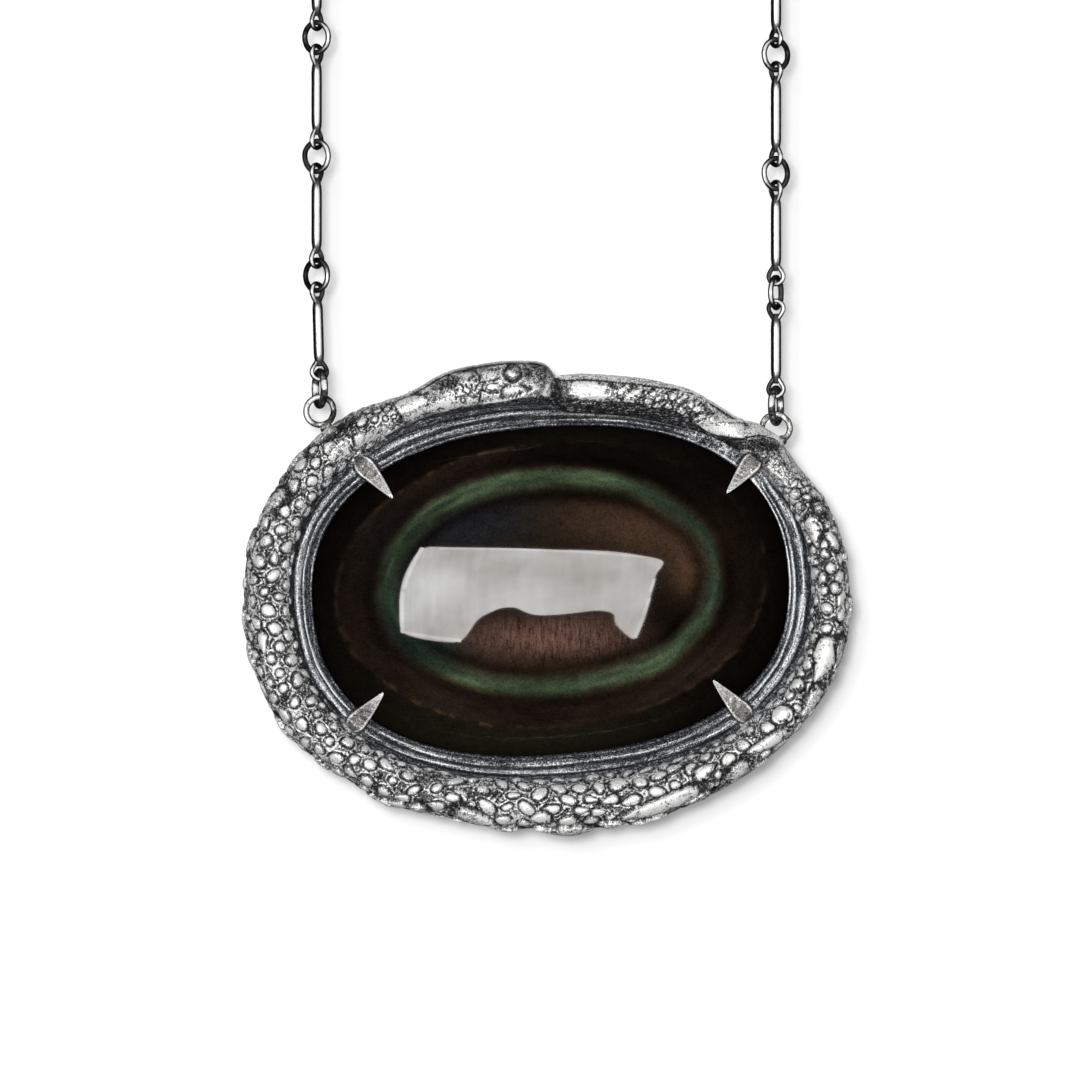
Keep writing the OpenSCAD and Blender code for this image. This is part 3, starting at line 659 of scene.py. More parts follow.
# Large scales among the pebbles: clock angle, distance out, half length and half width in pixels, turn,
# height in mm, and how far it tapers: above 0 it is pointed clockwise. Those that stand out most are placed
# by their two ends, with the last three and their half width.
LARGE_SCALES = np.array([
    scale_between((790.3, 490.4), (798.7, 496.6), 5.5, 0.36),
    scale_between((796.65, 503.15), (802.95, 509.35), 4.4, 0.36),
    scale_between((812.5, 503), (824, 514), 4.6, 0.38),
    scale_between((802.85, 494.35), (809.65, 500.15), 3.4, 0.30),
    scale_between((811, 514), (817.5, 550), 6.8, 0.50, 0.75),
    scale_between((805.5, 530), (810.5, 545), 3.2, 0.26),
    scale_between((825, 532.5), (836.5, 550), 4.8, 0.40),
    scale_between((840, 546), (843, 564), 4.0, 0.40),
    scale_between((821.2, 551.2), (827.6, 557.8), 4.6, 0.36),
    scale_between((813, 555), (816, 565.5), 4.2, 0.36),
    scale_between((828.3, 563), (831.3, 574), 4.6, 0.38),
    scale_between((821.65, 573.4), (824.05, 583.9), 4.6, 0.38),
    scale_between((831.1, 583.2), (836.3, 592.6), 5.2, 0.40),
    [92.5, 60, 12, 5, 0, 0.40, 0.5],
    scale_between((833.05, 637.9), (813.95, 684.1), 11.5, 0.52, 0.75),
    scale_between((820.05, 688.95), (797.95, 716.05), 8, 0.46, 0.5),
    scale_between((791, 709), (771, 720), 8, 0.42, 0.2),
    scale_between((803, 680), (790, 690), 6.5, 0.34, 0.2),
    scale_between((786, 732), (746, 752), 6, 0.46, 0.5),
    scale_between((811, 657), (804, 670), 5, 0.3, 0.2),
    [129, 60, 14, 8, 0, 0.46, 0.3], [135, 47, 12, 6, 10, 0.40, -0.5],
    scale_between((698.1, 788.95), (621.9, 819.05), 9, 0.55, 0.4),
    [152, 80, 23, 6, 0, 0.55, 0.6], [163, 73, 14, 6, 0, 0.45, -0.5],
    scale_between((593.5, 826.15), (533.5, 828.85), 9, 0.62, 0.6),
    [184.5, 61, 10, 6, 0, 0.40, 0.5],
    scale_between((496, 824), (456, 808), 8, 0.50, -0.5),
    [195, 76, 15, 5, 0, 0.50, 0.6], [217, 61, 9, 5, 0, 0.40, 0.6], [224, 66, 19, 6, 0, 0.48, -0.5],
    [236, 64, 14, 6, 0, 0.40, -0.6], [245, 68, 18, 7, 0, 0.52, -0.6], [258, 66, 16, 6, 6, 0.42, -0.5],
    [264, 70, 18, 7, 0, 0.50, -0.5], [278, 66, 15, 6, 0, 0.45, -0.5], [285.5, 56, 15, 8, -14, 0.45, -0.6],
    [293, 62, 13, 5, 0, 0.36, -0.6], [300, 60, 15, 6, -6, 0.42, -0.5], [306, 60, 12, 5, 0, 0.36, 0.5]])

# Between the large scales a row of long thin ones overlaps along the outer flank
flank_scales = []
for clock in np.arange(84, 302, 5.6):
    outer = float(table_at(SNAKE, 2, clock)) / PX
    near = np.abs(LARGE_SCALES[:, 0] - clock) < 6.5
    if np.any(near & (LARGE_SCALES[:, 1] > outer - 14)):
        continue
    place = [clock + rng.uniform(-1, 1), outer - rng.uniform(3.0, 7.5)]
    half_sizes = [rng.uniform(13, 21), rng.uniform(5, 7)]
    turn_and_rise = [rng.uniform(-8, 8), rng.uniform(0.30, 0.42)]
    flank_scales.append(place + half_sizes + turn_and_rise + [0.6 if clock < 208 else -0.6])
large_places = []
for clock, out, half_length, half_width, turn, rise, taper in np.concatenate([LARGE_SCALES, flank_scales]):
    s, w = surface_at(clock, out, 0.05)[:2]
    flat_on = out < float(table_at(SNAKE, 2, clock)) / PX - 9
    large_places.append((s, w, half_length * PX, half_width * PX, math.radians(turn), taper, rise, flat_on))

pebbles, pack_size = pack_pebbles()
pebble_count = len(pebbles)
edge_share = smooth(pebbles[:, 1] - np.interp(pebbles[:, 0], column_s, side_w), -2.0, -0.2)
pebble_size = pack_size * (0.55 + 0.20 * rng.random(pebble_count))
at_bottom = window(np.interp(pebbles[:, 0], column_s, column_clock), 135, 160, 215, 235)
drop = rng.random(pebble_count) < 0.16 + 0.10 * at_bottom
pebble_turn = rng.normal(0, 0.6, pebble_count) * (1 - 0.8 * edge_share)
pebble_long = 1.0 + 0.35 * rng.random(pebble_count) ** 1.5 + 0.5 * edge_share + 0.30 * at_bottom
pebble_long = np.where(drop, 1.5 + 0.4 * rng.random(pebble_count), pebble_long)
pebble_taper = np.where(rng.random(pebble_count) < 0.4, rng.uniform(-0.5, 0.5, pebble_count), 0)
pebble_taper = np.where(drop, 0.6 * np.sign(rng.random(pebble_count) - 0.4), pebble_taper)
pebble_high = 0.22 + 0.14 * rng.random(pebble_count)
pebble_tone = 0.78 + 0.22 * rng.random(pebble_count) - 0.15 * edge_share


def nearest_pebble(s, w):
    """Distance from the nearest pebble in its own drop shape, 1 at its edge, and its number."""
    distance = np.full(s.shape, 9.0)
    number = np.zeros(s.shape, int)
    for i in range(0, s.shape[0], BLOCK_COLUMNS):
        block = slice(i, i + BLOCK_COLUMNS)
        near = np.where(np.abs(wrapped(pebbles[:, 0] - s[block].mean())) < BLOCK_REACH)[0]
        if near.size < 2:
            continue
        u = wrapped(s[block][..., None] - pebbles[near, 0])
        v = w[block][..., None] - pebbles[near, 1]
        cos, sin = np.cos(pebble_turn[near]), np.sin(pebble_turn[near])
        x = (u * cos + v * sin) / (pebble_size[near] * pebble_long[near])
        narrow = 1 - pebble_taper[near] * np.clip(x, -1, 1)
        y = (-u * sin + v * cos) / (pebble_size[near] / pebble_long[near] ** 0.3 * narrow)
        q = np.hypot(x, y)
        distance[block] = q.min(-1)
        number[block] = near[q.argmin(-1)]
    return distance, number


# The pebbles, and the ground between them: swirling ridges in a grainy surface
warp = uneven(net_s / 0.9, net_w / 0.9, 1, 2)
warp_s = net_s + 0.26 * warp
warp_w = net_w + 0.26 * uneven(net_s / 0.9, net_w / 0.9, 2, 2)
to_pebble, number = nearest_pebble(warp_s, warp_w)
scale_share = table_at(FORM, 3, net_clock)
grain = uneven(net_s / 0.20, net_w / 0.20, 12, 2)
cloud = uneven(net_s / 1.4, net_w / 0.8, 13, 3)
swirl = layered_noise(net_s / 1.5, net_w / 0.9, 14, 2) * 7 % 1
swirl_line = peak(swirl, 0.5, 0.12)
strokes = peak(layered_noise(net_s / 0.55 + 1.5 * warp, net_w / 0.75, 19, 2), 0.5, 0.028)
from_edge = (to_pebble - 1) * pebble_size[number]
dome = np.sqrt(np.clip(1 - to_pebble ** 2.6, 0, 1))
outline = peak(from_edge, 0.05, 0.055)
halo = peak(from_edge, 0.20, 0.08) * (1 - dome)
open_ground = smooth(from_edge, 0.08, 0.26)
second_line = peak(from_edge, 0.34, 0.05) * smooth(value_noise(net_s / 1.1, net_w / 1.1, 20), 0.35, 0.6)
height = pebble_high[number] * dome - 0.11 * outline + 0.08 * halo - 0.05 * second_line
height += open_ground * (0.07 * (swirl_line - 0.4) + 0.10 * cloud)
height -= 0.05 * open_ground * strokes
ground_tone = 0.58 + 0.9 * cloud - 0.50 * swirl_line - 0.55 * strokes
# Each pebble is lighter towards its top: rubbed silver, with a painted highlight
scale_rub_and_painted_light = pebble_tone[number] * (0.42 + 0.62 * smooth(dome, 0.30, 0.92))
tone = mix(ground_tone, scale_rub_and_painted_light, smooth(to_pebble, 1.03, 0.95))
tone = tone * (1 - 0.95 * outline) + 0.34 * halo - 0.40 * second_line
plain_tone = 0.60 + 0.6 * cloud
for px, py, *oval, amount in PLAIN_SPOTS:
    spread = (1 - smooth(from_oval(photo_x - px, photo_y - py, *oval), 0.6, 1.25)) * (past_side < 0)
    scale_share *= 1 - spread
    plain_tone += amount * spread
height *= scale_share
tone = mix(plain_tone, tone, smooth(scale_share, 0.0, 0.4))
# Fine slanting strokes on the tail
slant = uneven((photo_x + photo_y) / 2.6, (photo_x - photo_y) / 9, 29)
tone += 1.1 * slant * window(net_clock, 18, 24, 44, 52) * (past_side < 0)

# Large scales lie over the pebbles, pointed and edged with a raised rim. Each is painted light on its bulge
# and its rim, and painted shade on its outer side.
for s, w, a, b, turn, taper, rise, flat_on in large_places:
    x, y = turned(wrapped(warp_s - s), warp_w - w, turn)
    x = x / a
    y = y / (b * (1 - taper * np.clip(x, -1, 1)))
    q = np.hypot(x, y)
    if taper:
        q = np.maximum(q, np.abs(x))
    cover = smooth(q, 1.04, 0.94)
    bulge = np.sqrt(np.clip(1 - q ** 2.2, 0, 1))
    rim = peak(q, 0.86, 0.07)
    crease = peak(q, 0.70, 0.06) * smooth(y, -0.2, 0.3)
    away = (q - 1) * b
    border = peak(away, 0.10, 0.08) if flat_on else peak(away, 0.16, 0.15)
    height = mix(height, 0.06 + rise * bulge + 0.05 * rim - 0.06 * crease, cover) - 0.12 * border
    # Painted shade on each scale's outer side, painted light on its bulge and rim
    painted_outer_shade = smooth(y, 0.05, 0.85) * (0.34 - 1.2 * grain)
    lit = 0.38 + 0.62 * bulge ** 0.8 + 0.25 * rim - 0.35 * crease + 0.5 * cloud - painted_outer_shade
    tone = mix(tone, lit if flat_on else 0.75 * lit, cover)
    tone *= 1 - 0.94 * border

# The outer flank: long thin scale edges that run with the body
flank_place = past_side + 0.25 * uneven(net_s / 2.3, 0.0, 15)
flank_phase = flank_place * 2.1 + 1.3 * value_noise(net_s / 1.5, net_w / 3, 16) + 0.30 * net_s / 1.5
flank_line = np.abs(flank_phase % 1 - 0.5)
flank = smooth(flank_place, -1.5, -0.6) * smooth(scale_share, 0.2, 0.8) * smooth(cloud, -0.50, -0.14)
flank *= window(net_clock, 68, 80, 300, 308)
cut = smooth(flank_line, 0.14, 0.03)
height = height * (1 - 0.6 * flank) - 0.09 * flank * cut
flank_tone = 0.26 - 0.10 * smooth(net_clock, 225, 245) + 0.50 * smooth(flank_line, 0.2, 0.45)
tone = mix(tone, flank_tone + 0.8 * cloud - 0.8 * cut, 0.85 * flank)

# Patches, lines and rings of the head, the tail and the twist, a little wavy as if cut by hand
wave_x = photo_x + 1.0 * uneven(photo_x / 4, photo_y / 4, 17)
wave_y = photo_y + 1.0 * uneven(photo_x / 4, photo_y / 4, 18)


def line_distance(x, y, points):
    """Distance in pixels from places to a run of straight stretches."""
    best = np.full(x.shape, 99.0)
    for (ax, ay), (bx, by) in zip(points[:-1], points[1:]):
        ux, uy = bx - ax, by - ay
        k = np.clip(((x - ax) * ux + (y - ay) * uy) / (ux * ux + uy * uy), 0, 1)
        best = np.minimum(best, np.hypot(x - ax - k * ux, y - ay - k * uy))
    return best


# The patches' changes of tone, some of them painted shade
for px, py, *oval, amount, rise in PATCHES:
    spread = (1 - smooth(from_oval(wave_x - px, wave_y - py, *oval), 0.55, 1.15)) * front_side
    tone += amount * spread
    height += rise * spread
for width, depth, places in LINES:
    points = np.array(places)
    low, high = points.min(0) - 8, points.max(0) + 8
    pick = front_side & (photo_x > low[0]) & (photo_x < high[0]) & (photo_y > low[1]) & (photo_y < high[1])
    cut = peak(line_distance(wave_x[pick], wave_y[pick], points), 0, 0.78 * width)
    height[pick] -= depth * cut
    tone[pick] = mix(tone[pick], 0.02 if depth > 0 else 0.92, 0.92 * cut)
for px, py, size in SMALL_RINGS:
    away = np.hypot(wave_x - px, wave_y - py)
    cut = peak(away, size, 0.9) * front_side
    height = height - 0.10 * cut + 0.06 * peak(away, 0, size) * front_side
    tone = mix(tone, 0.03, 0.9 * cut)

# The eye: a ball in a dark ring with a painted highlight low on its left, and a bright lid below it on the
# left
eye_x = photo_x - EYE_PLACE[0]
eye_y = photo_y - EYE_PLACE[1]
eye_q = np.hypot(eye_x, eye_y) / EYE_SIZE
ball = np.sqrt(np.clip(1 - (eye_q / 0.80) ** 2.2, 0, 1)) * front_side
socket = peak(eye_q, 0.93, 0.13) * front_side
lid = peak(eye_q, 1.30, 0.14) * smooth(eye_y - 0.7 * eye_x, -3, 5) * front_side
upper_lid = peak(eye_q, 1.28, 0.10) * smooth(-eye_y, 2, 7) * front_side
height = height + 0.42 * ball + 0.15 * lid + 0.06 * upper_lid - 0.16 * socket
# Painted highlight on the eyeball
glow = 0.34 + 0.80 * peak(from_oval(eye_x + 1.0, eye_y - 2.6, 4.6, 3.6), 0, 1)
tone = mix(tone, glow, smooth(eye_q, 0.86, 0.78) * front_side)
tone = mix(tone, 0.95, np.clip(lid + 0.7 * upper_lid, 0, 1))
tone = mix(tone, 0.02, socket)

# Painted light: the outer flank is painted lighter where it turns from the front, as if lit from all round
flank_painted_light = np.clip(1 - np.abs(base_normal[..., 1]), 0, 1) * smooth(net_w, top_w[:, None], side_w[:, None])
tone += (0.45 - 0.37 * smooth(scale_share, 0.3, 0.8)) * flank_painted_light * (tone > 0.12)

# The edge of the head, the neck and the tail: a painted highlight, with a line of painted shade in a shallow
# groove under it
from_side = table_at(SNAKE, 2, net_clock) / PX - out_px
plain_edge = 1 - window(net_clock, 50, 62, 308, 322)
edge_width = 1.8 + 3.6 * window(net_clock, 3, 8, 30, 40) + 1.0 * window(net_clock, 304, 308, 322, 330)
painted_edge_highlight = plain_edge * smooth(from_side, edge_width + 0.7, edge_width - 0.7)
painted_edge_shade = plain_edge * peak(from_side, edge_width + 1.6, 1.0)
tone = mix(tone, 0.95 + 0.5 * cloud, 0.9 * painted_edge_highlight)
tone *= 1 - 0.85 * painted_edge_shade
height -= 0.05 * painted_edge_shade

# Below the face: painted shade, black metal with bright specks. The clock is turned by 60 so that it doesn't
# wrap here.
edge_polar = np.array([photo_polar(*place) for place in FACE_EDGE])
edge_clock = (edge_polar[:, 0] + 60) % 360
order = np.argsort(edge_clock)
edge_out = np.interp((net_clock + 60) % 360, edge_clock[order], edge_polar[order, 1], left=-9, right=-9)
below = smooth(edge_out - out_px, -0.8, 1.6) * front_side
tone = mix(tone, 0.10 + 0.9 * np.clip(grain * 2.2 - 0.25, 0, 1) + 0.25 * cloud, below)
height = height * (1 - below) - 0.12 * below

# Grain, painted shade at the foot and painted shadow round the claws, and the side that is turned away.
# Painted shade darkens the relief's undersides, and painted light brightens its sides that face the light.
AWAY_FROM_LIGHT = np.array([0.35, 0, -0.94])
tone += 0.8 * grain * (1 - 0.6 * dome * scale_share)
tone = 0.5 + (1 + 0.25 * window(net_clock, 66, 76, 304, 312)) * (tone - 0.5)
# Painted shadow round the claws
tone *= 1 - claw_shade(photo_x, photo_y) * front_side
height += 0.035 * grain
# Painted shade at the foot, where the body meets the bezel
tone = mix(tone, 0.10 + 0.8 * np.clip(cloud + 0.2, 0, 1), 1 - smooth(net_w, 0.45, 1.5))
from_foot = out_px - table_at(SNAKE, 1, net_clock) / PX
# A painted shadow along the inner edge on the left side
painted_foot_shadow = smooth(from_foot, 3.4, 2.0) * window(net_clock, 232, 246, 300, 312) * front_side
tone *= 1 - 0.9 * painted_foot_shadow
turned_away = smooth(past_side, 0.3 + 0.3 * plain_edge, 1.4 + 0.3 * plain_edge)
tone = mix(tone, 0.40 + 0.5 * cloud, turned_away)
snake_points = base + base_normal * (height * smooth(net_w, 0, 0.25))[..., None]
snake_normal = unit(net_normals(snake_points) + 0.8 * painted_edge_highlight[..., None] * np.array([0, 1, 0]))
# Painted shade on the relief's undersides, and painted light on its sides turned towards the light
turned_from_light = (snake_normal - base_normal) @ AWAY_FROM_LIGHT
tone = tone * (1 - 0.45 * np.clip(turned_from_light, 0, 1)) + 0.12 * np.clip(-turned_from_light, 0, 1)
tone = np.clip(tone, 0, 1.2)

snake_world = to_world(snake_points)
snake_world_normal = snake_normal * [1, -1, 1]
pieces = []
# The snake's pieces: name, first and last clock angle, over 360 past the top
SNAKE_CUTS = [("snake_head", 312, 364), ("snake_tail", 4, 66), ("snake_right_side", 66, 186),
              ("snake_left_side", 186, 312)]
for name, low, high in SNAKE_CUTS:
    first_column = int(np.searchsorted(column_s, along_of(low % 360)))
    last_column = int(np.searchsorted(column_s, along_of(high % 360)))
    if last_column <= first_column:
        last_column += COLUMNS
    pick = np.arange(first_column, last_column + 1) % COLUMNS
    pieces.append(mesh_object(name, snake_world[pick], net_faces(pick.size, share.size), "pendant",
                              SNAKE_SILVER, tone[pick], snake_world_normal[pick]))

# The bezel: the stone's seat, then three rails with dark grooves between them
BEZEL_COLUMNS, BEZEL_ROWS, BEZEL_F = 1500, 44, 3.32
bezel_s = (np.arange(BEZEL_COLUMNS) * RING_LENGTH / BEZEL_COLUMNS)[:, None]
bezel_t = np.interp(bezel_s, fine_s, fine_t)
bezel_clock = np.degrees(bezel_t)
row = np.linspace(0, 1, BEZEL_ROWS)
bezel_d = row * (table_at(SNAKE, 1, bezel_clock) + 0.25)
row_s = np.broadcast_to(bezel_s, bezel_d.shape)
wander = 1.6 * uneven(row_s / 7, 0.0, 21) + 0.8 * uneven(row_s / 2.2, bezel_d, 22)
place_px = bezel_d / PX + wander
streaks = 1.25 * uneven(row_s / 4.0, bezel_d / 0.15, 24, 2)
speckle = uneven(row_s / 0.20, bezel_d / 0.20, 25, 2)
clouds = uneven(row_s / 2.0, bezel_d / 0.8, 26, 3)
bezel_f = BEZEL_F + 0.10 * streaks + 0.05 * speckle
bezel_tone = np.full(bezel_d.shape, 0.16)
inner_edge = 0.0
groove_width = 1.0 + 0.6 * uneven(row_s / 3.1, 0.0, 27)
for column, rise in ((1, 0.20), (2, 0.34), (3, 0.62)):
    outer_edge = table_at(RAILS, column, bezel_clock)
    bright = table_at(RAILS, column + 3, bezel_clock)
    groove = table_at(RAILS, column + 6, bezel_clock) if column < 3 else 1.0
    u = (place_px - (inner_edge + outer_edge) / 2) / np.maximum(0.5, (outer_edge - inner_edge) / 2)
    bezel_f += rise * np.sqrt(np.clip(1 - (u / 0.96) ** 2, 0, 1))
    crown = 0.30 + 0.78 * smooth(np.abs(u + 0.1), 0.95, 0.20)
    rail_tone = 0.03 + 0.07 * smooth(bright, 0, 0.2) + 1.05 * bright * crown
    rail_tone = rail_tone + (0.25 + 1.2 * bright) * streaks + 0.4 * clouds
    bezel_tone = mix(bezel_tone, rail_tone, smooth(np.abs(u), 0.99, 0.84))
    bezel_tone *= 1 - 0.95 * groove * peak(place_px, outer_edge, groove_width)
    inner_edge = outer_edge
lip_seen = np.maximum(window(bezel_clock, 236, 250, 292, 308), window(bezel_clock, 36, 50, 88, 104))
lip = peak(place_px, 1.5, 0.6) * smooth(value_noise(row_s / 6, 0.0, 28), 0.2, 0.5) * lip_seen
threads = 0.5 + 0.5 * np.sin(2 * math.pi * (place_px / 2.5 + 1.6 * value_noise(row_s / 8, 0.0, 30)))
thread_seen = smooth(value_noise(row_s / 4, place_px / 3, 31), 0.25, 0.6) * (1 - 0.8 * lip_seen)
bezel_tone *= 1 - 0.55 * smooth(threads, 0.62, 1.0) * thread_seen
bezel_tone = bezel_tone + 0.75 * lip + 0.40 * speckle

# Metal from the body spreads over the rails at the foot of each claw, and at the twist
bezel_px, bezel_py = photo_place(ring_place(bezel_t, bezel_d, bezel_f))
for claw in CLAWS:
    away = wrapped(row_s - along_of(claw[0])) / 1.45
    spread = np.exp(-np.abs(away) ** 3) * smooth(place_px, 3, 12)
    bezel_f = mix(bezel_f, 4.05 + 0.2 * clouds, spread)
    bezel_tone = mix(bezel_tone, 0.50 + 0.7 * clouds + 1.0 * speckle, spread)
twist = window(bezel_clock, 39, 45, 60, 66) * smooth(place_px, 2.0, 4.5)
bezel_f = mix(bezel_f, 3.5 + 0.35 * row, twist)
bezel_tone = mix(bezel_tone, 0.40 + 0.8 * clouds + 1.1 * speckle, twist)
bezel_tone *= smooth(place_px, -1.0 + 1.6 * (1 - lip_seen), 1.2 + 2.0 * (1 - lip_seen))
# Painted shadow of the claws on the rails
bezel_tone *= 1 - claw_shade(bezel_px, bezel_py)
# The wall of the seat under the rails: distance out and height of its corners
SEAT_WALL = np.array([(0.16, 0.65), (0.16, 2.7), (0.04, 3.15)])
wall_d, wall_f = [np.broadcast_to(column, (BEZEL_COLUMNS, len(SEAT_WALL))) for column in SEAT_WALL.T]
bezel_points = ring_place(bezel_t, np.concatenate([wall_d, bezel_d], 1), np.concatenate([wall_f, bezel_f], 1))
bezel_tone = np.concatenate([np.full(wall_d.shape, 0.02), np.clip(bezel_tone, 0, 1)], 1)
pieces.append(mesh_object("bezel", to_world(bezel_points),
                          net_faces(BEZEL_COLUMNS, bezel_points.shape[1], closed_columns=True),
                          "pendant", BEZEL_SILVER, bezel_tone))

# The back plate: a plain satin oval with a low rim
BACK_COLUMNS = 360
BACK_LEVELS = [(1.0, 0.0), (0.985, 0.0), (0.97, 0.10), (0.95, 0.12), (0.8, 0.12), (0.5, 0.12), (0.2, 0.12)]
back_t = circle(BACK_COLUMNS)
back_edge = ring_place(back_t, table_at(SNAKE, 2, np.degrees(back_t)) - 0.35, 0.0)
back_points = np.stack([back_edge * [k, 0, k] + [0, lift, 0] for k, lift in BACK_LEVELS], 1)
back_faces = net_faces(BACK_COLUMNS, len(BACK_LEVELS), closed_columns=True)
back_faces.append([(i + 1) * len(BACK_LEVELS) - 1 for i in range(BACK_COLUMNS)])
pieces.append(mesh_object("back_plate", to_world(back_points), back_faces, "pendant",
                          BACK_SILVER))


# Claws: pointed fangs from the snake over the bezel onto the stone
def stone_front(t, d):
    r = oval_radius(t)
    q = np.clip((r + d) / (r + STONE_SPREAD), 0, 1)
    return GIRDLE + DOME_HEIGHT * (1 - q ** DOME_POWER) ** (1 / DOME_POWER)


# Inside CLAW_RESTS_D a claw lies on the stone
CLAW_SIDES, CLAW_RESTS_D = 48, -0.3
claw_angle = circle(CLAW_SIDES)
claw_top = np.sin(claw_angle) > 0
across = np.cos(claw_angle)
claw_parts = []
for root_clock, tip_clock, root_d, tip_d in CLAWS:
    k = np.concatenate([[0, 0.012, 0.035], np.linspace(0.06, 0.94, 44), [0.965, 0.985, 1.0]])[:, None]
    t = np.radians(root_clock + (tip_clock - root_clock) * k)
    d = root_d + (tip_d - root_d) * k
    thick = np.interp(k, CLAW_THICK_ALONG, CLAW_THICK)
    on_stone = stone_front(t, np.minimum(d, CLAW_RESTS_D)) + 0.06
    rests = d <= CLAW_RESTS_D
    over_bezel = np.interp(d, [CLAW_RESTS_D, 0.4, 2.2], [on_stone[rests][0], 3.95, 3.85])
    centre = oval_point(t) + d[..., None] * oval_normal(t)
    ahead = np.gradient(centre, axis=0)
    side = unit(np.stack([-ahead[..., 1], ahead[..., 0]], -1))
    claw_grain = uneven(k * 30 + root_clock, across * 5, 31, 3)
    scratches = uneven(k * 46 + 3 * across + root_clock, across * 1.2, 32)
    up = np.where(claw_top, np.clip(np.sin(claw_angle) * 1.9, 0, 1), 0)
    hollow = 0.10 * (1 - across ** 2) * claw_top
    f = np.where(rests, on_stone, over_bezel) + thick * (up - hollow) + 0.05 * claw_grain
    half = np.interp(k, CLAW_ALONG, CLAW_HALF)
    claw_loops = to_world(raised(centre + side * (across * half)[..., None], f))
    # The claws' tone: a painted highlight along the rims, painted shade darkening the face towards the root,
    # and the side towards the stone in black painted shade; grain and scratches over all.
    rim = peak(np.abs(across), 0.82, 0.12) * claw_top
    face = 0.36 + 0.50 * smooth(k, 0.25, 0.90) + 0.35 * claw_grain + 0.40 * scratches
    root_painted_shade = 1 - 0.25 * (1 - smooth(k, 0.0, 0.10))
    shade = np.where(np.sin(claw_angle) > 0.30, 1.0, 0.05)
    claw_parts.append((claw_loops, np.clip((face * root_painted_shade + 0.55 * rim) * shade, 0, 1), False))
pieces.append(joined_lofts("claws", claw_parts, "pendant", CLAW_SILVER))

# The lobe where the body wraps over the root of the tail: places in the photograph's pixels along its
# upper and its lower edge, and how far it bulges
LOBE = np.array([
    [697.0, 424.2, 697.2, 424.8, 0.05], [702, 422.6, 702.5, 429.5, 0.45], [709, 421.4, 709.5, 434.2, 0.75],
    [717, 420.3, 716.5, 437.2, 0.95], [726, 419.6, 725.5, 438.6, 1.05], [734, 419.4, 733.5, 441.2, 1.15],
    [742, 420.0, 741, 441.2, 1.10], [750, 421.0, 749, 438.0, 1.00], [757.5, 422.8, 756.5, 436.5, 0.92],
    [764.5, 426.8, 763.5, 437.2, 0.72], [771.5, 431.4, 770.5, 438.6, 0.60],
    [779.5, 436.2, 777.5, 441.2, 0.58], [784, 439.8, 782, 443.4, 0.45],
    [787.0, 443.8, 785.8, 444.6, 0.10]])
LOBE_COLUMNS, LOBE_ROWS = 150, 44
spot = np.linspace(0, len(LOBE) - 1, LOBE_COLUMNS)
edges = np.stack([np.interp(spot, np.arange(len(LOBE)), column) for column in LOBE.T], -1)
for j in range(edges.shape[1]):
    for step in range(8):
        edges[1:-1, j] = np.convolve(edges[:, j], [0.25, 0.5, 0.25], "valid")
edge_f = [[surface_at(*photo_polar(*edges[i, j:j + 2]))[2] for j in (0, 2)] for i in range(LOBE_COLUMNS)]
upper_f, lower_f = np.array(edge_f).T[..., None]
v = np.linspace(-1, 1, LOBE_ROWS)
lobe_px, lobe_py = [mix(edges[:, j:j + 1], edges[:, j + 2:j + 3], (v + 1) / 2) for j in (0, 1)]
lobe_grain = uneven(lobe_px / 1.3, lobe_py / 1.3, 41, 2)
striped = uneven(lobe_px / 6, lobe_py / 1.8, 42, 2)
lobe_base = mix(upper_f, lower_f, (v + 1) / 2)
lobe_up = np.clip(1 - np.abs(v) ** 3.6, 0, 1) ** 0.5 * edges[:, 4:5]
lobe_f = lobe_base + 0.10 + lobe_up + 0.03 * lobe_grain + 0.03 * striped
rear_f = np.minimum(lobe_f - 0.25, lobe_base - 0.45)
lobe_loops = np.concatenate([photo_point(lobe_px, lobe_py, lobe_f),
                             photo_point(lobe_px, lobe_py, rear_f)[:, ::-1]], 1)
# The lobe's tone: a painted highlight along its upper middle, lighter towards its right end, a painted light
# line along the top edge with a dark line below it, and painted shade over its lower side; grain and stripes
# over all.
bright = 0.66 + 0.40 * np.exp(-from_oval(lobe_px - 724, lobe_py - 431, 24, 6) ** 3)
bright = bright + 0.14 * smooth(lobe_px, 742, 756) + 0.40 * smooth(lobe_px, 768, 780)
bright = bright + 0.30 * peak(v, -0.88, 0.09) - 0.30 * peak(v, -0.66, 0.08) - 0.95 * smooth(v, 0.62, 0.95)
bright = bright + 0.6 * lobe_grain + 0.35 * striped
lobe_tone = np.clip(np.concatenate([bright, np.full(bright.shape, 0.1)], 1), 0, 1)
lobe = joined_lofts("tail_lobe", [(to_world(lobe_loops), lobe_tone, False)], "pendant",
                    SNAKE_SILVER)
# Its front takes the light as if it faced the camera more
facing = np.empty(len(lobe.data.vertices) * 3)
lobe.data.vertices.foreach_get("normal", facing)
facing = facing.reshape(-1, 3)
facing[:, 1] -= 0.9 * (facing[:, 1] < 0)
lobe.data.normals_split_custom_set_from_vertices(unit(facing).tolist())
pieces.append(lobe)


# Wires
def stood(x, y, z, yaw, lean, place):
    """Points turned by yaw about the upright, leant in the picture's plane and moved, in metres."""
    x, y = turned(x, y, -yaw)
    x, z = turned(x, z, lean)
    return np.stack([x + place[0], y, z + place[1]], -1) * METRES


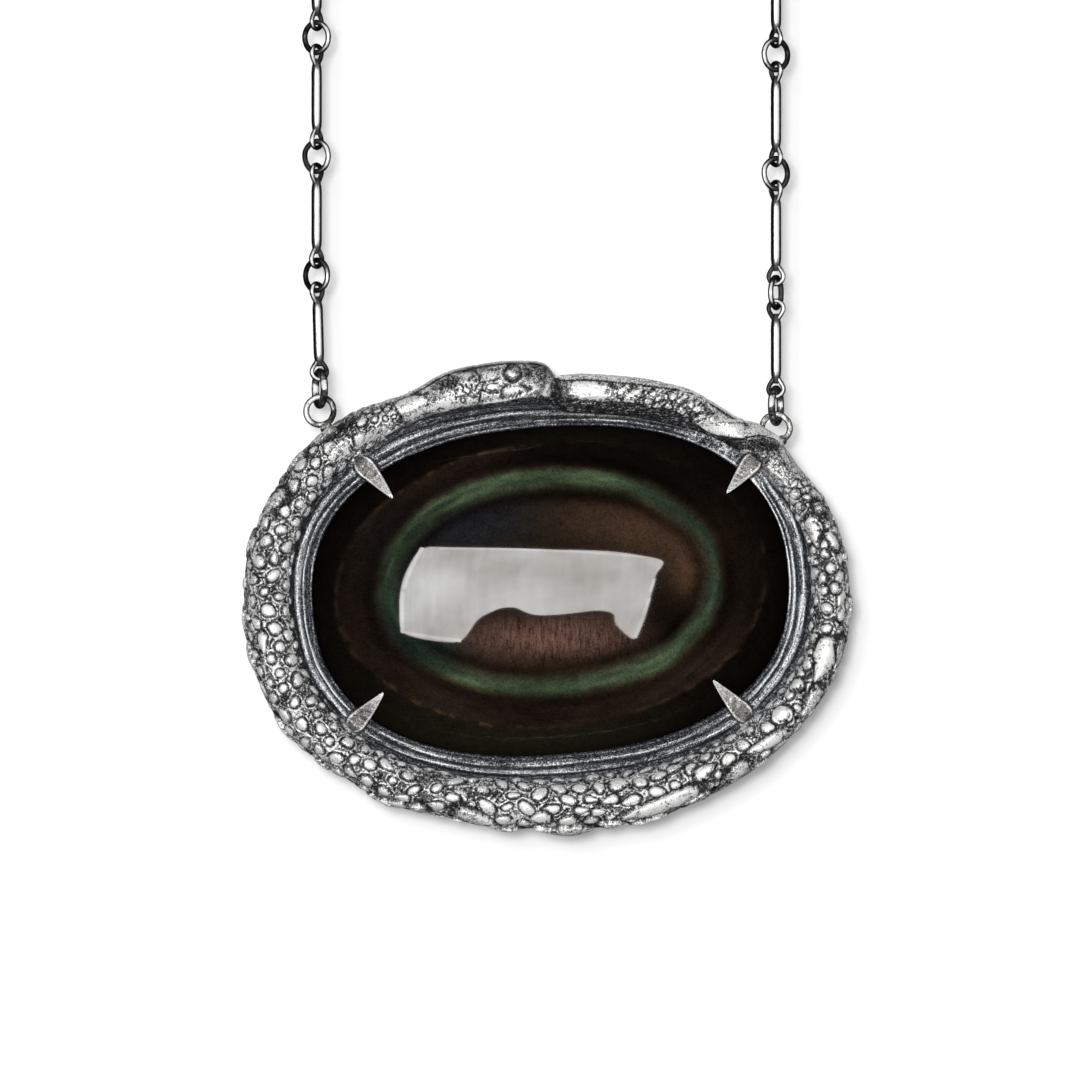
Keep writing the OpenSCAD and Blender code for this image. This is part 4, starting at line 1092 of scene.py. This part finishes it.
def ring_loops(place, radius, wire, yaw, lean=0.0, around=96, sides=20, seed=0, rough=0.0):
    """A ring of round wire about its place (x, z) in row millimetres; yaw and lean in degrees."""
    a = circle(around)
    b = circle(sides)
    wobble = 1 + rough * uneven(4 + 2.2 * np.cos(a), 4 + 2.2 * np.sin(a), seed)
    r = (radius * wobble)[:, None] + wire / 2 * np.cos(b)
    return stood(r * np.cos(a)[:, None], wire / 2 * np.sin(b), r * np.sin(a)[:, None],
                 math.radians(yaw), math.radians(lean), place)


def wire_grain_and_painted_sheen(loops, level, seed, narrow=0.80, specks=0.0):
    """Painted sheen with grain: bright where a wire faces the front or back, black at its sides; level is the
    painted light along it.
    """
    fine = uneven(loops[..., 0] / 0.00016, loops[..., 2] / 0.00016, seed + 40, 2)
    spots = uneven(loops[..., 0] / 0.0006, loops[..., 2] / 0.0006, seed, 2)
    facing = np.abs(unit(loops - loops.mean(1, keepdims=True))[..., 1])
    crest = smooth(facing, narrow - 0.14, narrow + 0.12)
    tone = 0.02 + np.asarray(level)[:, None] * crest + 0.6 * spots * (0.25 + crest)
    return np.clip(tone + specks * fine * (1 - 0.7 * smooth(tone, 0.5, 0.9)), 0, 1)


def in_row(jump):
    """A jump ring's middle (x, z) in row millimetres."""
    return np.array([jump[0] + STONE_X, jump[1] + STONE_Z])


# The soldered eyelets, each below its jump ring's wire
eyelet_drop = JUMP_RADIUS - (JUMP_WIRE + EYELET_WIRE) / 2 - WIRE_GAP + EYELET_RADIUS
eyelet_parts = []
for n, jump in enumerate((JUMP_LEFT, JUMP_RIGHT)):
    loops = ring_loops(in_row(jump) - [0, eyelet_drop], EYELET_RADIUS, EYELET_WIRE, 0, seed=n + 51,
                       rough=0.05)
    a = circle(len(loops))
    # Painted light, brighter on one side of each eyelet
    eyelet_painted_light = 0.60 + (0.45 * n - 0.38) * np.cos(a) + 0.16 * np.sin(a)
    eyelet_parts.append((loops, wire_grain_and_painted_sheen(loops, eyelet_painted_light, n + 52, 0.72, 1.0), True))

# Solder runs from each eyelet down onto the snake: place on the eyelet and on the snake, half width there,
# all in pixels, and how light it is
SOLDER = [((321.5, 425.5), (331, 431.5), 5.5, 8.0, 0.34), ((785.5, 436.0), (779.5, 443.5), 4.2, 6.5, 0.56)]
solder_parts = []
for (ax, ay), (bx, by), from_width, to_width, solder_grey in SOLDER:
    k = np.linspace(0, 1, 14)[:, None]
    angle = circle(24)
    run = np.array([bx - ax, by - ay])
    across = np.array([-run[1], run[0]]) / np.hypot(*run)
    half = mix(from_width, to_width, k ** 1.5) * np.sqrt(np.clip(np.sin(np.pi * (0.08 + 0.84 * k)), 0, 1))
    px = ax + run[0] * k + across[0] * half * np.cos(angle)
    py = ay + run[1] * k + across[1] * half * np.cos(angle)
    lump = uneven(px / 3, py / 3, 55, 3)
    f = BACK_Y + mix(0.0, 0.5, k) + mix(0.34, 0.75, k) * np.sin(angle) + 0.12 * lump
    solder_parts.append((to_world(photo_point(px, py, f)), np.clip(solder_grey + 1.9 * lump, 0, 1), False))
pieces.append(joined_lofts("eyelet_solder", solder_parts, "pendant", CLAW_SILVER))
pieces.append(joined_lofts("eyelets", eyelet_parts, "pendant", RING_SILVER))
for piece in pieces:
    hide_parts("snake_setting")

# The jump rings
for name, jump, side in (("jump_ring_left", JUMP_LEFT, -1), ("jump_ring_right", JUMP_RIGHT, 1)):
    loops = ring_loops(in_row(jump), JUMP_RADIUS, JUMP_WIRE, side * JUMP_YAW, seed=side + 61)
    middle = loops.mean(1)[:, 2]
    # A painted highlight spot on the wire halfway up each ring
    painted_spot_light = 0.24 + 0.8 * peak(middle, middle.mean() + 0.0002, 0.0006)
    ring_part = (loops, wire_grain_and_painted_sheen(loops, painted_spot_light, side + 62, 0.66, 1.3), True)
    ring = joined_lofts(name + "_wire", [ring_part], "chain", CHAIN_SILVER)
    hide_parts(name)

# The chain: rings, and bars whose ends run out into pointed eyes
SIDE_RING_YAW, LOWEST_RING_YAW = 37, {-1: -42, 1: 68}
arc_step = 90 / ARC_LINKS
arc_centre_z = CLASP_DIAMETER / 2 - LOOP_RADIUS * math.cos(math.radians(arc_step / 2))
side_shift = (JUMP_LEFT[1] - JUMP_RIGHT[1]) / 2
hole = EYE_RADIUS - EYE_WIRE / 2
eye_from_ring = RING_RADIUS + hole - RING_WIRE / 2 - WIRE_GAP
eye_from_jump = JUMP_RADIUS + hole - JUMP_WIRE / 2 - WIRE_GAP


def ring_distance(k, side):
    """Distance along the loop from the clasp to the middle of ring k."""
    return side * ((k + 0.5) * LINK_PITCH + side * side_shift)


def loop_point(s):
    a = math.radians(s / LINK_PITCH * arc_step)
    if abs(a) <= math.pi / 2:
        return np.array([LOOP_RADIUS * math.sin(a), arc_centre_z + LOOP_RADIUS * math.cos(a)])
    return np.array([math.copysign(LOOP_RADIUS, s), arc_centre_z - (abs(s) - ARC_LINKS * LINK_PITCH)])


def ring_yaw(k, side):
    if k < ARC_LINKS:
        return 0
    if k < LINKS_EACH_SIDE:
        return side * SIDE_RING_YAW
    return LOWEST_RING_YAW[side]


def tube(path, radius, sides):
    """Loops of a round wire along a closed path of (x, y, z) points."""
    ahead = unit(np.roll(path, -1, 0) - np.roll(path, 1, 0))
    side = unit(np.cross(ahead, [0.0, 1.0, 0.0]))
    up = np.cross(side, ahead)
    b = circle(sides)[:, None]
    return path[:, None, :] + (np.cos(b) * side[:, None, :] + np.sin(b) * up[:, None, :]) * radius


# A bar's end: distance along it and radius of the rod, which narrows towards the eye
END_ALONG = np.array([0, 0.10, 0.25, 0.45, 0.8, 1.2, 2.0]) - 0.25
END_RADIUS = np.array([0.20, 0.24, 0.30, 0.37, 0.44, 0.47, 0.47])
BAR_SIDES, BAR_STATIONS, BAR_EYE_AROUND, BAR_EYE_SIDES = 28, 5, 32, 10


def bar_parts(bottom, top, gaps, yaws):
    """A bar from bottom to top: a rod that narrows at both ends, and a drop-shaped eye at each."""
    run = top - bottom
    whole = float(np.linalg.norm(run))
    lean = math.atan2(run[0], run[1])
    low = gaps[1] + EYE_RADIUS
    high = whole - gaps[0] - EYE_RADIUS
    stations = np.concatenate([low + END_ALONG, np.linspace(low + 2.2, high - 2.2, BAR_STATIONS),
                               high - END_ALONG[::-1]])[:, None]
    radii = np.concatenate([END_RADIUS, np.full(BAR_STATIONS, BAR_DIAMETER / 2), END_RADIUS[::-1]])[:, None]
    b = circle(BAR_SIDES)
    rod = stood(radii * np.cos(b), radii * np.sin(b), stations, 0, lean, bottom)
    # Painted sheen: a bright stripe where the rod faces the front or the back, black at its sides, dimmer
    # towards its ends
    painted_sheen_across = 0.02 + 0.96 * smooth(np.abs(np.sin(b - 0.10)), 0.74, 0.93)
    ends = np.clip(np.minimum(stations - low, high - stations) / 1.2, 0, 1)
    parts = [(rod, mix(0.12, painted_sheen_across, 0.25 + 0.75 * ends), False)]
    a = circle(BAR_EYE_AROUND)
    x = EYE_RADIUS * np.sin(a)
    z = EYE_RADIUS * -np.cos(a)
    point = np.clip(z / EYE_RADIUS, 0, 1)
    x = x * (1 - 0.55 * point ** 2)
    z = z + 0.42 * point ** 2
    # The eyes' painted light, brighter on one side
    level = 0.72 - 0.40 * np.sin(a) + 0.15 * np.cos(a)
    for centre, away, yaw in ((gaps[1], 1, yaws[1]), (whole - gaps[0], -1, yaws[0])):
        path = np.stack([x, np.zeros(BAR_EYE_AROUND), centre + away * z], -1)
        eye = tube(path, EYE_WIRE / 2, BAR_EYE_SIDES)
        loops = stood(eye[..., 0], eye[..., 1], eye[..., 2], math.radians(yaw), lean, bottom)
        parts.append((loops, wire_grain_and_painted_sheen(loops, level, 90), True))
    return parts


for side, name, jump in ((-1, "left", JUMP_LEFT), (1, "right", JUMP_RIGHT)):
    rings = [loop_point(ring_distance(k, side)) for k in range(LINKS_EACH_SIDE + 1)]
    parts = []
    for k, place in enumerate(rings):
        lean = max(-90, min(90, ring_distance(k, side) / LINK_PITCH * arc_step)) - side * 90
        loops = ring_loops(place, RING_RADIUS, RING_WIRE, ring_yaw(k, side), lean, around=64, sides=12,
                           seed=70 + k, rough=0.05)
        across = (loops.mean(1)[:, 0] - loops[..., 0].mean()) / (RING_RADIUS * METRES)
        # Painted light, brighter on one side of each ring
        level = 0.50 - side * 0.62 * across + 0.5 * (rng.random() - 0.5)
        parts.append((loops, wire_grain_and_painted_sheen(loops, np.clip(level, 0.08, 1), 80 + k), True))
    yaws = [ring_yaw(k, side) + 90 for k in range(LINKS_EACH_SIDE + 1)]
    for k in range(LINKS_EACH_SIDE):
        parts += bar_parts(rings[k + 1], rings[k], (eye_from_ring, eye_from_ring), (yaws[k], yaws[k + 1]))
    parts += bar_parts(in_row(jump), rings[-1], (eye_from_ring, eye_from_jump),
                       (yaws[-1], side * JUMP_YAW + 90))
    strand = joined_lofts("chain_strand_" + name, parts, "chain", CHAIN_SILVER)
    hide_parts("chain_" + name)

# The clasp keeps its CAD shape
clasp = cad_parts["clasp"]
clasp.data.materials.clear()
clasp.data.materials.append(BACK_SILVER)

# The stone: a polished dome with a green band round a brown heart
STONE_COLUMNS, STONE_ROWS = 400, 90
stone_t = circle(STONE_COLUMNS)
dome_angle = np.radians(np.append(np.linspace(0, 90, STONE_ROWS)[1:-1], [89.5, 89.9, 89.98, 89.996]))
share_out = np.concatenate([[0.97, 0.995, 1.0, 1.0, 1.0], np.cos(dome_angle) ** (2 / DOME_POWER)])[:, None]
front_f = np.concatenate([[0.68, 0.80, 1.15, 1.7, GIRDLE],
                          GIRDLE + DOME_HEIGHT * np.sin(dome_angle) ** (2 / DOME_POWER)])[:, None]


def stone_edge(t):
    """The stone's own outline, and the plain ellipse that it eases into towards the crown."""
    x, z = turned(np.sin(t), np.cos(t), OVAL_TILT)
    ellipse = 1 / np.hypot(x / (OVAL_LENGTH + STONE_SPREAD), z / (OVAL_HEIGHT + STONE_SPREAD))
    return oval_radius(t, STONE_SPREAD), ellipse


edge, ellipse = stone_edge(stone_t)
loop_r = share_out * (share_out ** 2 * edge + (1 - share_out ** 2) * ellipse)
stone_points = raised(np.stack([loop_r * np.sin(stone_t), loop_r * np.cos(stone_t)], -1), front_f)

# The stone's colours, in screen values from 0 to 255
SCREEN_GAMMA = 2.2
GREEN, TEAL, OLIVE, BLACK = np.array([(67, 80, 60), (31, 41, 36), (32, 32, 25), (15, 13, 11)])
MAUVE, WINE, GOLD, MOSS = np.array([(92, 69, 61), (40, 32, 28), (84, 66, 46), (70, 68, 40)])
RUST, BROWN, UMBER, SLATE = np.array([(82, 61, 48), (58, 45, 35), (34, 28, 23), (31, 32, 34)])
# The green band: clock angle, how far out and how far in from its oval in pixels, how much of it is seen
BAND = np.array([
    (0, 0, -20, 0.95), (30, 1, -20, 0.95), (62, -3, -20, 0.50), (85, -3, -19, 0.50), (110, 3, -20, 0.80),
    (122, 2, -22, 0.95), (145, -1, -22, 0.95), (180, -4, -21, 0.80), (222, -1, -20, 0.95),
    (234, -1, -20, 0.45), (246, 0, -20, 0.05), (262, 1, -20, 0.40), (285, 2, -18, 0.75),
    (322, 2, -20, 0.95), (360, 0, -20, 0.95)])
# Outside the band: clock angle, how brown the stone is up to the thin golden line, how green beyond it, how
# much of the golden line is seen
OUTSIDE = np.array([
    (0, 0.15, 0.45, 0.1), (35, 0.06, 0.30, 0.1), (62, 0.08, 0.05, 0.2), (95, 0.25, 0.0, 0.4),
    (118, 0.95, 0.05, 0.6), (140, 0.95, 0.45, 0.5), (160, 0.80, 0.75, 0.2), (185, 0.60, 0.85, 0.3),
    (205, 0.75, 0.80, 0.9), (222, 0.95, 0.65, 0.9), (245, 0.60, 0.2, 0.4), (270, 0.35, 0.0, 0.25),
    (295, 0.55, 0.0, 0.4), (318, 0.80, 0.10, 0.8), (335, 0.60, 0.25, 0.9), (348, 0.30, 0.4, 0.4),
    (360, 0.15, 0.45, 0.1)])
# Colour patches: place, half width, half height in pixels, turn, colour, strength
STONE_PATCHES = [
    (551, 583, 150, 92, -4, UMBER, 1.0), (600, 520, 74, 20, 6, BROWN, 0.7),
    (656, 536, 56, 30, 16, RUST, 0.42), (682, 582, 20, 40, 0, RUST, 0.75),
    (474, 526, 62, 24, -12, SLATE, 0.95), (412, 585, 26, 42, 0, SLATE, 0.8),
    (548, 636, 84, 20, 0, MAUVE, 0.85), (545, 634, 60, 14, 0, MAUVE, 0.1),
    (556, 668, 92, 7, 0, BROWN, 0.7), (668, 612, 26, 30, 0, BLACK, 0.7), (432, 640, 30, 14, 20, TEAL, 0.8)]


def paint(colour, other, cover):
    return mix(colour, other, cover[..., None])


# Half axes in pixels of the ovals of the green band and of the golden line. The crown of the dome counts as
# far inside the band.
BAND_OVAL, GOLD_OVAL, CROWN_INWARD = (174, 117), (216, 142), 60
stone_px, stone_py = photo_place(stone_points)
beside, below = stone_px - PATTERN_PX, stone_py - PATTERN_PY
local_x, local_y = turned(beside, below, -OVAL_TILT)
stone_clock = np.degrees(np.arctan2(beside, -below)) % 360
unrest = uneven(stone_px / 42, stone_py / 42, 61, 4)
ring_out = from_oval(local_x, local_y, *BAND_OVAL) + 0.05 * unrest
inward = (1 - ring_out) * np.hypot(local_x, local_y) / np.maximum(0.2, ring_out)
inward += CROWN_INWARD * smooth(ring_out, 0.5, 0.3)
brown, green, gold = columns_at(OUTSIDE, stone_clock)
rim_out = from_oval(local_x, local_y - 2, *GOLD_OVAL) + 0.035 * uneven(stone_px / 15, stone_py / 15, 68, 3)
arcs = layered_noise(stone_clock / 14, ring_out * 26, 67, 3)
colour = paint(BLACK, WINE, np.clip(brown * (0.5 + arcs), 0, 1))
colour = paint(colour, paint(BLACK, OLIVE, green), smooth(rim_out, 0.985, 1.02))
gold_breaks = smooth(layered_noise(stone_px / 8, stone_py / 8, 69, 2), 0.38, 0.65)
colour = paint(colour, GOLD, 0.75 * gold * peak(rim_out, 0.995, 0.011) * gold_breaks)
for px, py, *oval, patch_colour, strength in STONE_PATCHES:
    q = from_oval(stone_px - px + 22 * unrest, stone_py - py + 14 * unrest, *oval)
    colour = paint(colour, patch_colour, strength * np.exp(-q ** 2.4 * 0.8))
band_out, band_in, band_seen = columns_at(BAND, stone_clock)
moat = 0.35 * peak(inward + band_in, 9, 8) + 0.2 * peak(inward + band_out, -7, 6)
colour *= (1 - moat)[..., None]
fray = inward + 3.0 * uneven(stone_px / 11, stone_py / 11, 66, 3)
band = smooth(fray, -band_out - 3, -band_out + 8) * smooth(fray, -band_in + 10, -band_in - 9)
patchy = 1 + 0.8 * uneven(stone_clock / 16, inward / 5, 63, 3)
to_moss = smooth(inward + band_out, 8, 0) * smooth(layered_noise(stone_px / 30, stone_py / 30, 64), 0.3, 0.7)
band_colour = paint(GREEN, MOSS, 0.8 * to_moss)
band_colour = paint(band_colour, TEAL, np.clip(1 - band_seen, 0, 1))
band_colour *= np.clip(patchy * np.maximum(band_seen, 0.85), 0.6, 1.2)[..., None]
colour = paint(colour, band_colour, 0.92 * band)
to_rim = np.broadcast_to(share_out, stone_px.shape)
lower_rim = peak(to_rim, 0.992, 0.004) * window(stone_clock, 140, 165, 205, 235)
colour = 0.95 * paint(colour * smooth(to_rim, 1.004, 0.985)[..., None], GOLD, 0.35 * lower_rim)
# Fine upright lines painted into the stone where the light box's mirror image falls: a painted reflection
HATCH_PX, HATCH_PY, *HATCH_OVAL = 556, 638, 84, 24
painted_reflection_lines = np.exp(-from_oval(stone_px - HATCH_PX, stone_py - HATCH_PY, *HATCH_OVAL) ** 4)


def stone_material():
    material, tree, shader = nodes_of("dark_stone")
    tint = add(tree, "ShaderNodeAttribute", attribute_name="tint")
    mottle = math_node(tree, "MULTIPLY", noise_node(tree, 900, 4, 0.65), 1.2)
    fine = math_node(tree, "MULTIPLY", noise_node(tree, 6000, 2, 0.7), 2.0)
    level = math_node(tree, "SUBTRACT", math_node(tree, "ADD", mottle, fine), 0.6)
    # Painted upright lines where the light box is mirrored, from the tint's alpha
    lines = swing(tree, noise_node(tree, 5200, 2, 0.6, upright=0.10), tint.outputs["Alpha"])
    level = math_node(tree, "ADD", level, math_node(tree, "MULTIPLY", lines, 3.0))
    scaled = add(tree, "ShaderNodeVectorMath", operation="SCALE")
    tree.links.new(tint.outputs["Color"], scaled.inputs[0])
    tree.links.new(level, scaled.inputs["Scale"])
    tree.links.new(scaled.outputs[0], shader.inputs["Base Color"])
    gloss = add(tree, "ShaderNodeAttribute", attribute_name="tone")
    tree.links.new(gloss.outputs["Fac"], shader.inputs["Specular IOR Level"])
    set_inputs(shader, Roughness=0.035, IOR=1.54)
    return material


shine = 0.95 * smooth(to_rim, 0.92, 0.74)
stone = joined_lofts("dark_stone", [(to_world(stone_points), shine, False)], "pendant",
                     stone_material())
tint = stone.data.attributes.new("tint", "FLOAT_COLOR", "POINT")
tint_values = np.concatenate([(np.clip(colour, 0, 255) / 255) ** SCREEN_GAMMA, painted_reflection_lines[..., None]], -1)
tint.data.foreach_set("color", tint_values.astype(np.float32).ravel())
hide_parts("stone")


# Stage: a pale wall behind, a pale floor
def stage_material(name, grey, glow, one_sided=False):
    material, tree, shader = nodes_of(name)
    set_inputs(shader, Base_Color=(grey, grey, grey, 1), Roughness=0.9, Specular_IOR_Level=0.0,
               Emission_Color=(1, 1, 1, 1), Emission_Strength=glow)
    if one_sided:
        back = add(tree, "ShaderNodeNewGeometry").outputs["Backfacing"]
        clear = add(tree, "ShaderNodeBsdfTransparent")
        either = add(tree, "ShaderNodeMixShader")
        tree.links.new(back, either.inputs[0])
        tree.links.new(shader.outputs[0], either.inputs[1])
        tree.links.new(clear.outputs[0], either.inputs[2])
        tree.links.new(either.outputs[0], tree.nodes["Material Output"].inputs["Surface"])
    return material


def plane(name, corners, material):
    mesh = bpy.data.meshes.new(name)
    mesh.from_pydata([tuple(c) for c in corners], [], [tuple(range(len(corners)))])
    mesh.update()
    mesh.materials.append(material)
    piece = put_in_scene(name, mesh)
    return piece


WALL_Y, FLOOR_Z, STAGE_REACH = 0.045, -0.300, 1.5
wall_corners = [(-STAGE_REACH, WALL_Y, FLOOR_Z), (STAGE_REACH, WALL_Y, FLOOR_Z),
                (STAGE_REACH, WALL_Y, STAGE_REACH), (-STAGE_REACH, WALL_Y, STAGE_REACH)]
floor_corners = [(-STAGE_REACH, -STAGE_REACH, FLOOR_Z), (STAGE_REACH, -STAGE_REACH, FLOOR_Z),
                 (STAGE_REACH, WALL_Y, FLOOR_Z), (-STAGE_REACH, WALL_Y, FLOOR_Z)]
wall = plane("wall", wall_corners, stage_material("pale_wall", 0.60, 0.22, one_sided=True))
floor = plane("floor", floor_corners, stage_material("pale_floor", 0.60, 0.60))
for piece in (wall, floor):
    piece.visible_glossy = False
    piece.visible_diffuse = False
    piece.visible_shadow = False

CAMERA_X, CAMERA_Z, CAMERA_AWAY, FRAME_WIDTH = -0.000566, -0.228676, 0.75, 0.0972
SENSOR_WIDTH = 36
camera_data = bpy.data.cameras.new("camera")
camera_data.sensor_width = SENSOR_WIDTH
camera_data.lens = SENSOR_WIDTH * CAMERA_AWAY / FRAME_WIDTH
camera_data.clip_start = 0.01
camera_data.clip_end = 10
camera = put_in_scene("camera", camera_data)
camera.location = (CAMERA_X, -CAMERA_AWAY, CAMERA_Z)
camera.rotation_euler = (math.pi / 2, 0, 0)
bpy.context.scene.camera = camera


# The light box: its outline is the one that the stone mirrors, followed back from the camera
def dome_front(x, z):
    """How far forward the stone stands at a place, in the pendant's millimetres."""
    edge, ellipse = stone_edge(math.atan2(x, z))
    low, high = 0.0, 1.0
    for step in range(40):
        q = (low + high) / 2
        if q * (q * q * edge + (1 - q * q) * ellipse) < math.hypot(x, z):
            low = q
        else:
            high = q
    return GIRDLE + DOME_HEIGHT * (1 - q ** DOME_POWER) ** (1 / DOME_POWER)


def mirrored(px, py, away):
    """Where the ray to a place in the photograph meets the plane of the light box."""
    x, z = from_photo(px, py)
    step = 0.02
    slope_x = (dome_front(x + step, z) - dome_front(x - step, z)) / (2 * step)
    slope_z = (dome_front(x, z + step) - dome_front(x, z - step)) / (2 * step)
    normal = unit(np.array([-slope_x, -1.0, -slope_z]))
    place = to_world(np.array([x, dome_front(x, z), z]))
    ray = unit(place - np.array([CAMERA_X, -CAMERA_AWAY, CAMERA_Z]))
    bounce = ray - 2 * ray.dot(normal) * normal
    return place + bounce * (-away - place[1]) / bounce[1]


def glow_material(name, strength):
    """The light box's cloth, a little uneven and woven upright."""
    material, tree, shader = nodes_of(name)
    tree.nodes.remove(shader)
    emission = add(tree, "ShaderNodeEmission")
    clouds = noise_node(tree, 2.6, 3, 0.6)
    weave = noise_node(tree, 30, 2, 0.6, upright=0.12)
    level = math_node(tree, "ADD", math_node(tree, "MULTIPLY", clouds, 1.3 * strength),
                      math_node(tree, "MULTIPLY", weave, 0.4 * strength))
    level = math_node(tree, "ADD", level, 0.15 * strength)
    tree.links.new(level, emission.inputs["Strength"])
    tree.links.new(ramp(tree, clouds, [(0.35, (1.0, 0.955, 0.91)), (0.55, (1.0, 0.995, 0.98))]),
                   emission.inputs["Color"])
    tree.links.new(emission.outputs[0], tree.nodes["Material Output"].inputs["Surface"])
    return material


def soften(places, steps=2):
    """The same outline with rounded corners."""
    for step in range(steps):
        following = np.roll(places, -1, 0)
        pairs = [mix(places, following, share) for share in (0.25, 0.75)]
        places = np.stack(pairs, 1).reshape(-1, 2)
    return places


BOX_AWAY, EDGE_AHEAD = 1.1, 0.004
# The outline of the light box in the stone, and the bright strips along its edges, in the photograph's pixels
REFLECTION = [
    (421, 546.5), (446, 547), (490, 549.5), (540, 549.5), (590, 550), (620, 552), (645, 556), (663.5, 560),
    (661, 567), (655, 573), (651, 592), (645, 615), (636, 638.5), (630, 638), (617, 626), (614, 621),
    (614, 612.5), (600, 609.5), (585, 611), (560, 614), (536, 615), (524, 611), (516, 606.5), (502, 607),
    (492, 611), (478, 618), (470, 631), (461, 642), (440, 641), (418, 637.5), (401.5, 632), (400, 615),
    (400.5, 592), (406, 572)]
BRIGHT_EDGES = [
    [(402, 590), (401.5, 632), (405.5, 633), (405.5, 592)],
    [(421.5, 547), (403, 588), (406.5, 589), (425, 548)],
    [(440, 547.3), (560, 550), (560, 551.8), (440, 549.2)],
    [(560, 550), (645, 556.5), (645, 558), (560, 551.8)],
    [(650, 597), (636, 637.5), (632, 636.5), (646, 599)], [(655, 578), (651, 592), (648, 592), (652, 579)],
    [(402, 632), (461, 641.5), (462.5, 638.5), (405, 630)]]
box_corners = [mirrored(px, py, BOX_AWAY) for px, py in soften(np.array(REFLECTION, float))]
box_pieces = [plane("light_box", box_corners, glow_material("box_glow", 5.4))]
edge_glow = glow_material("edge_glow", 7.2)
for n, strip in enumerate(BRIGHT_EDGES):
    strip_corners = [mirrored(px, py, BOX_AWAY - EDGE_AHEAD) for px, py in strip]
    box_pieces.append(plane("light_box_edge_%d" % n, strip_corners, edge_glow))
for piece in box_pieces:
    piece.visible_camera = False
    piece.visible_diffuse = False

# Lamps: place, size and power. They all point at the pendant and aren't mirrored in it.
PENDANT_PLACE = mathutils.Vector((0, 0, -0.232))
LAMPS = [("near_lamp", (-0.0086, -0.75, -0.2207), (0.016, 0.016), 4.5),
         ("wide_lamp", (-0.0222, -0.75, -0.2070), (0.044, 0.044), 3.6),
         ("back_lamp_left", (-0.62, 0.70, 0.10), (0.20, 0.30), 9.0),
         ("back_lamp_right", (0.62, 0.70, 0.10), (0.20, 0.30), 9.0)]
for name, place, size, power in LAMPS:
    lamp_data = bpy.data.lights.new(name, "AREA")
    lamp_data.shape = "RECTANGLE"
    lamp_data.size, lamp_data.size_y = size
    lamp_data.energy = power
    lamp = put_in_scene(name, lamp_data)
    lamp.location = place
    lamp.rotation_euler = (PENDANT_PLACE - mathutils.Vector(place)).to_track_quat("-Z", "Y").to_euler()
    lamp.visible_glossy = False

scene = bpy.context.scene
world = bpy.data.worlds.new("studio")
world.use_nodes = True
set_inputs(world.node_tree.nodes["Background"], Color=(1, 1, 1, 1), Strength=0.16)
scene.world = world
world.cycles_visibility.glossy = False
scene.view_settings.view_transform = "Standard"
scene.view_settings.look = "None"
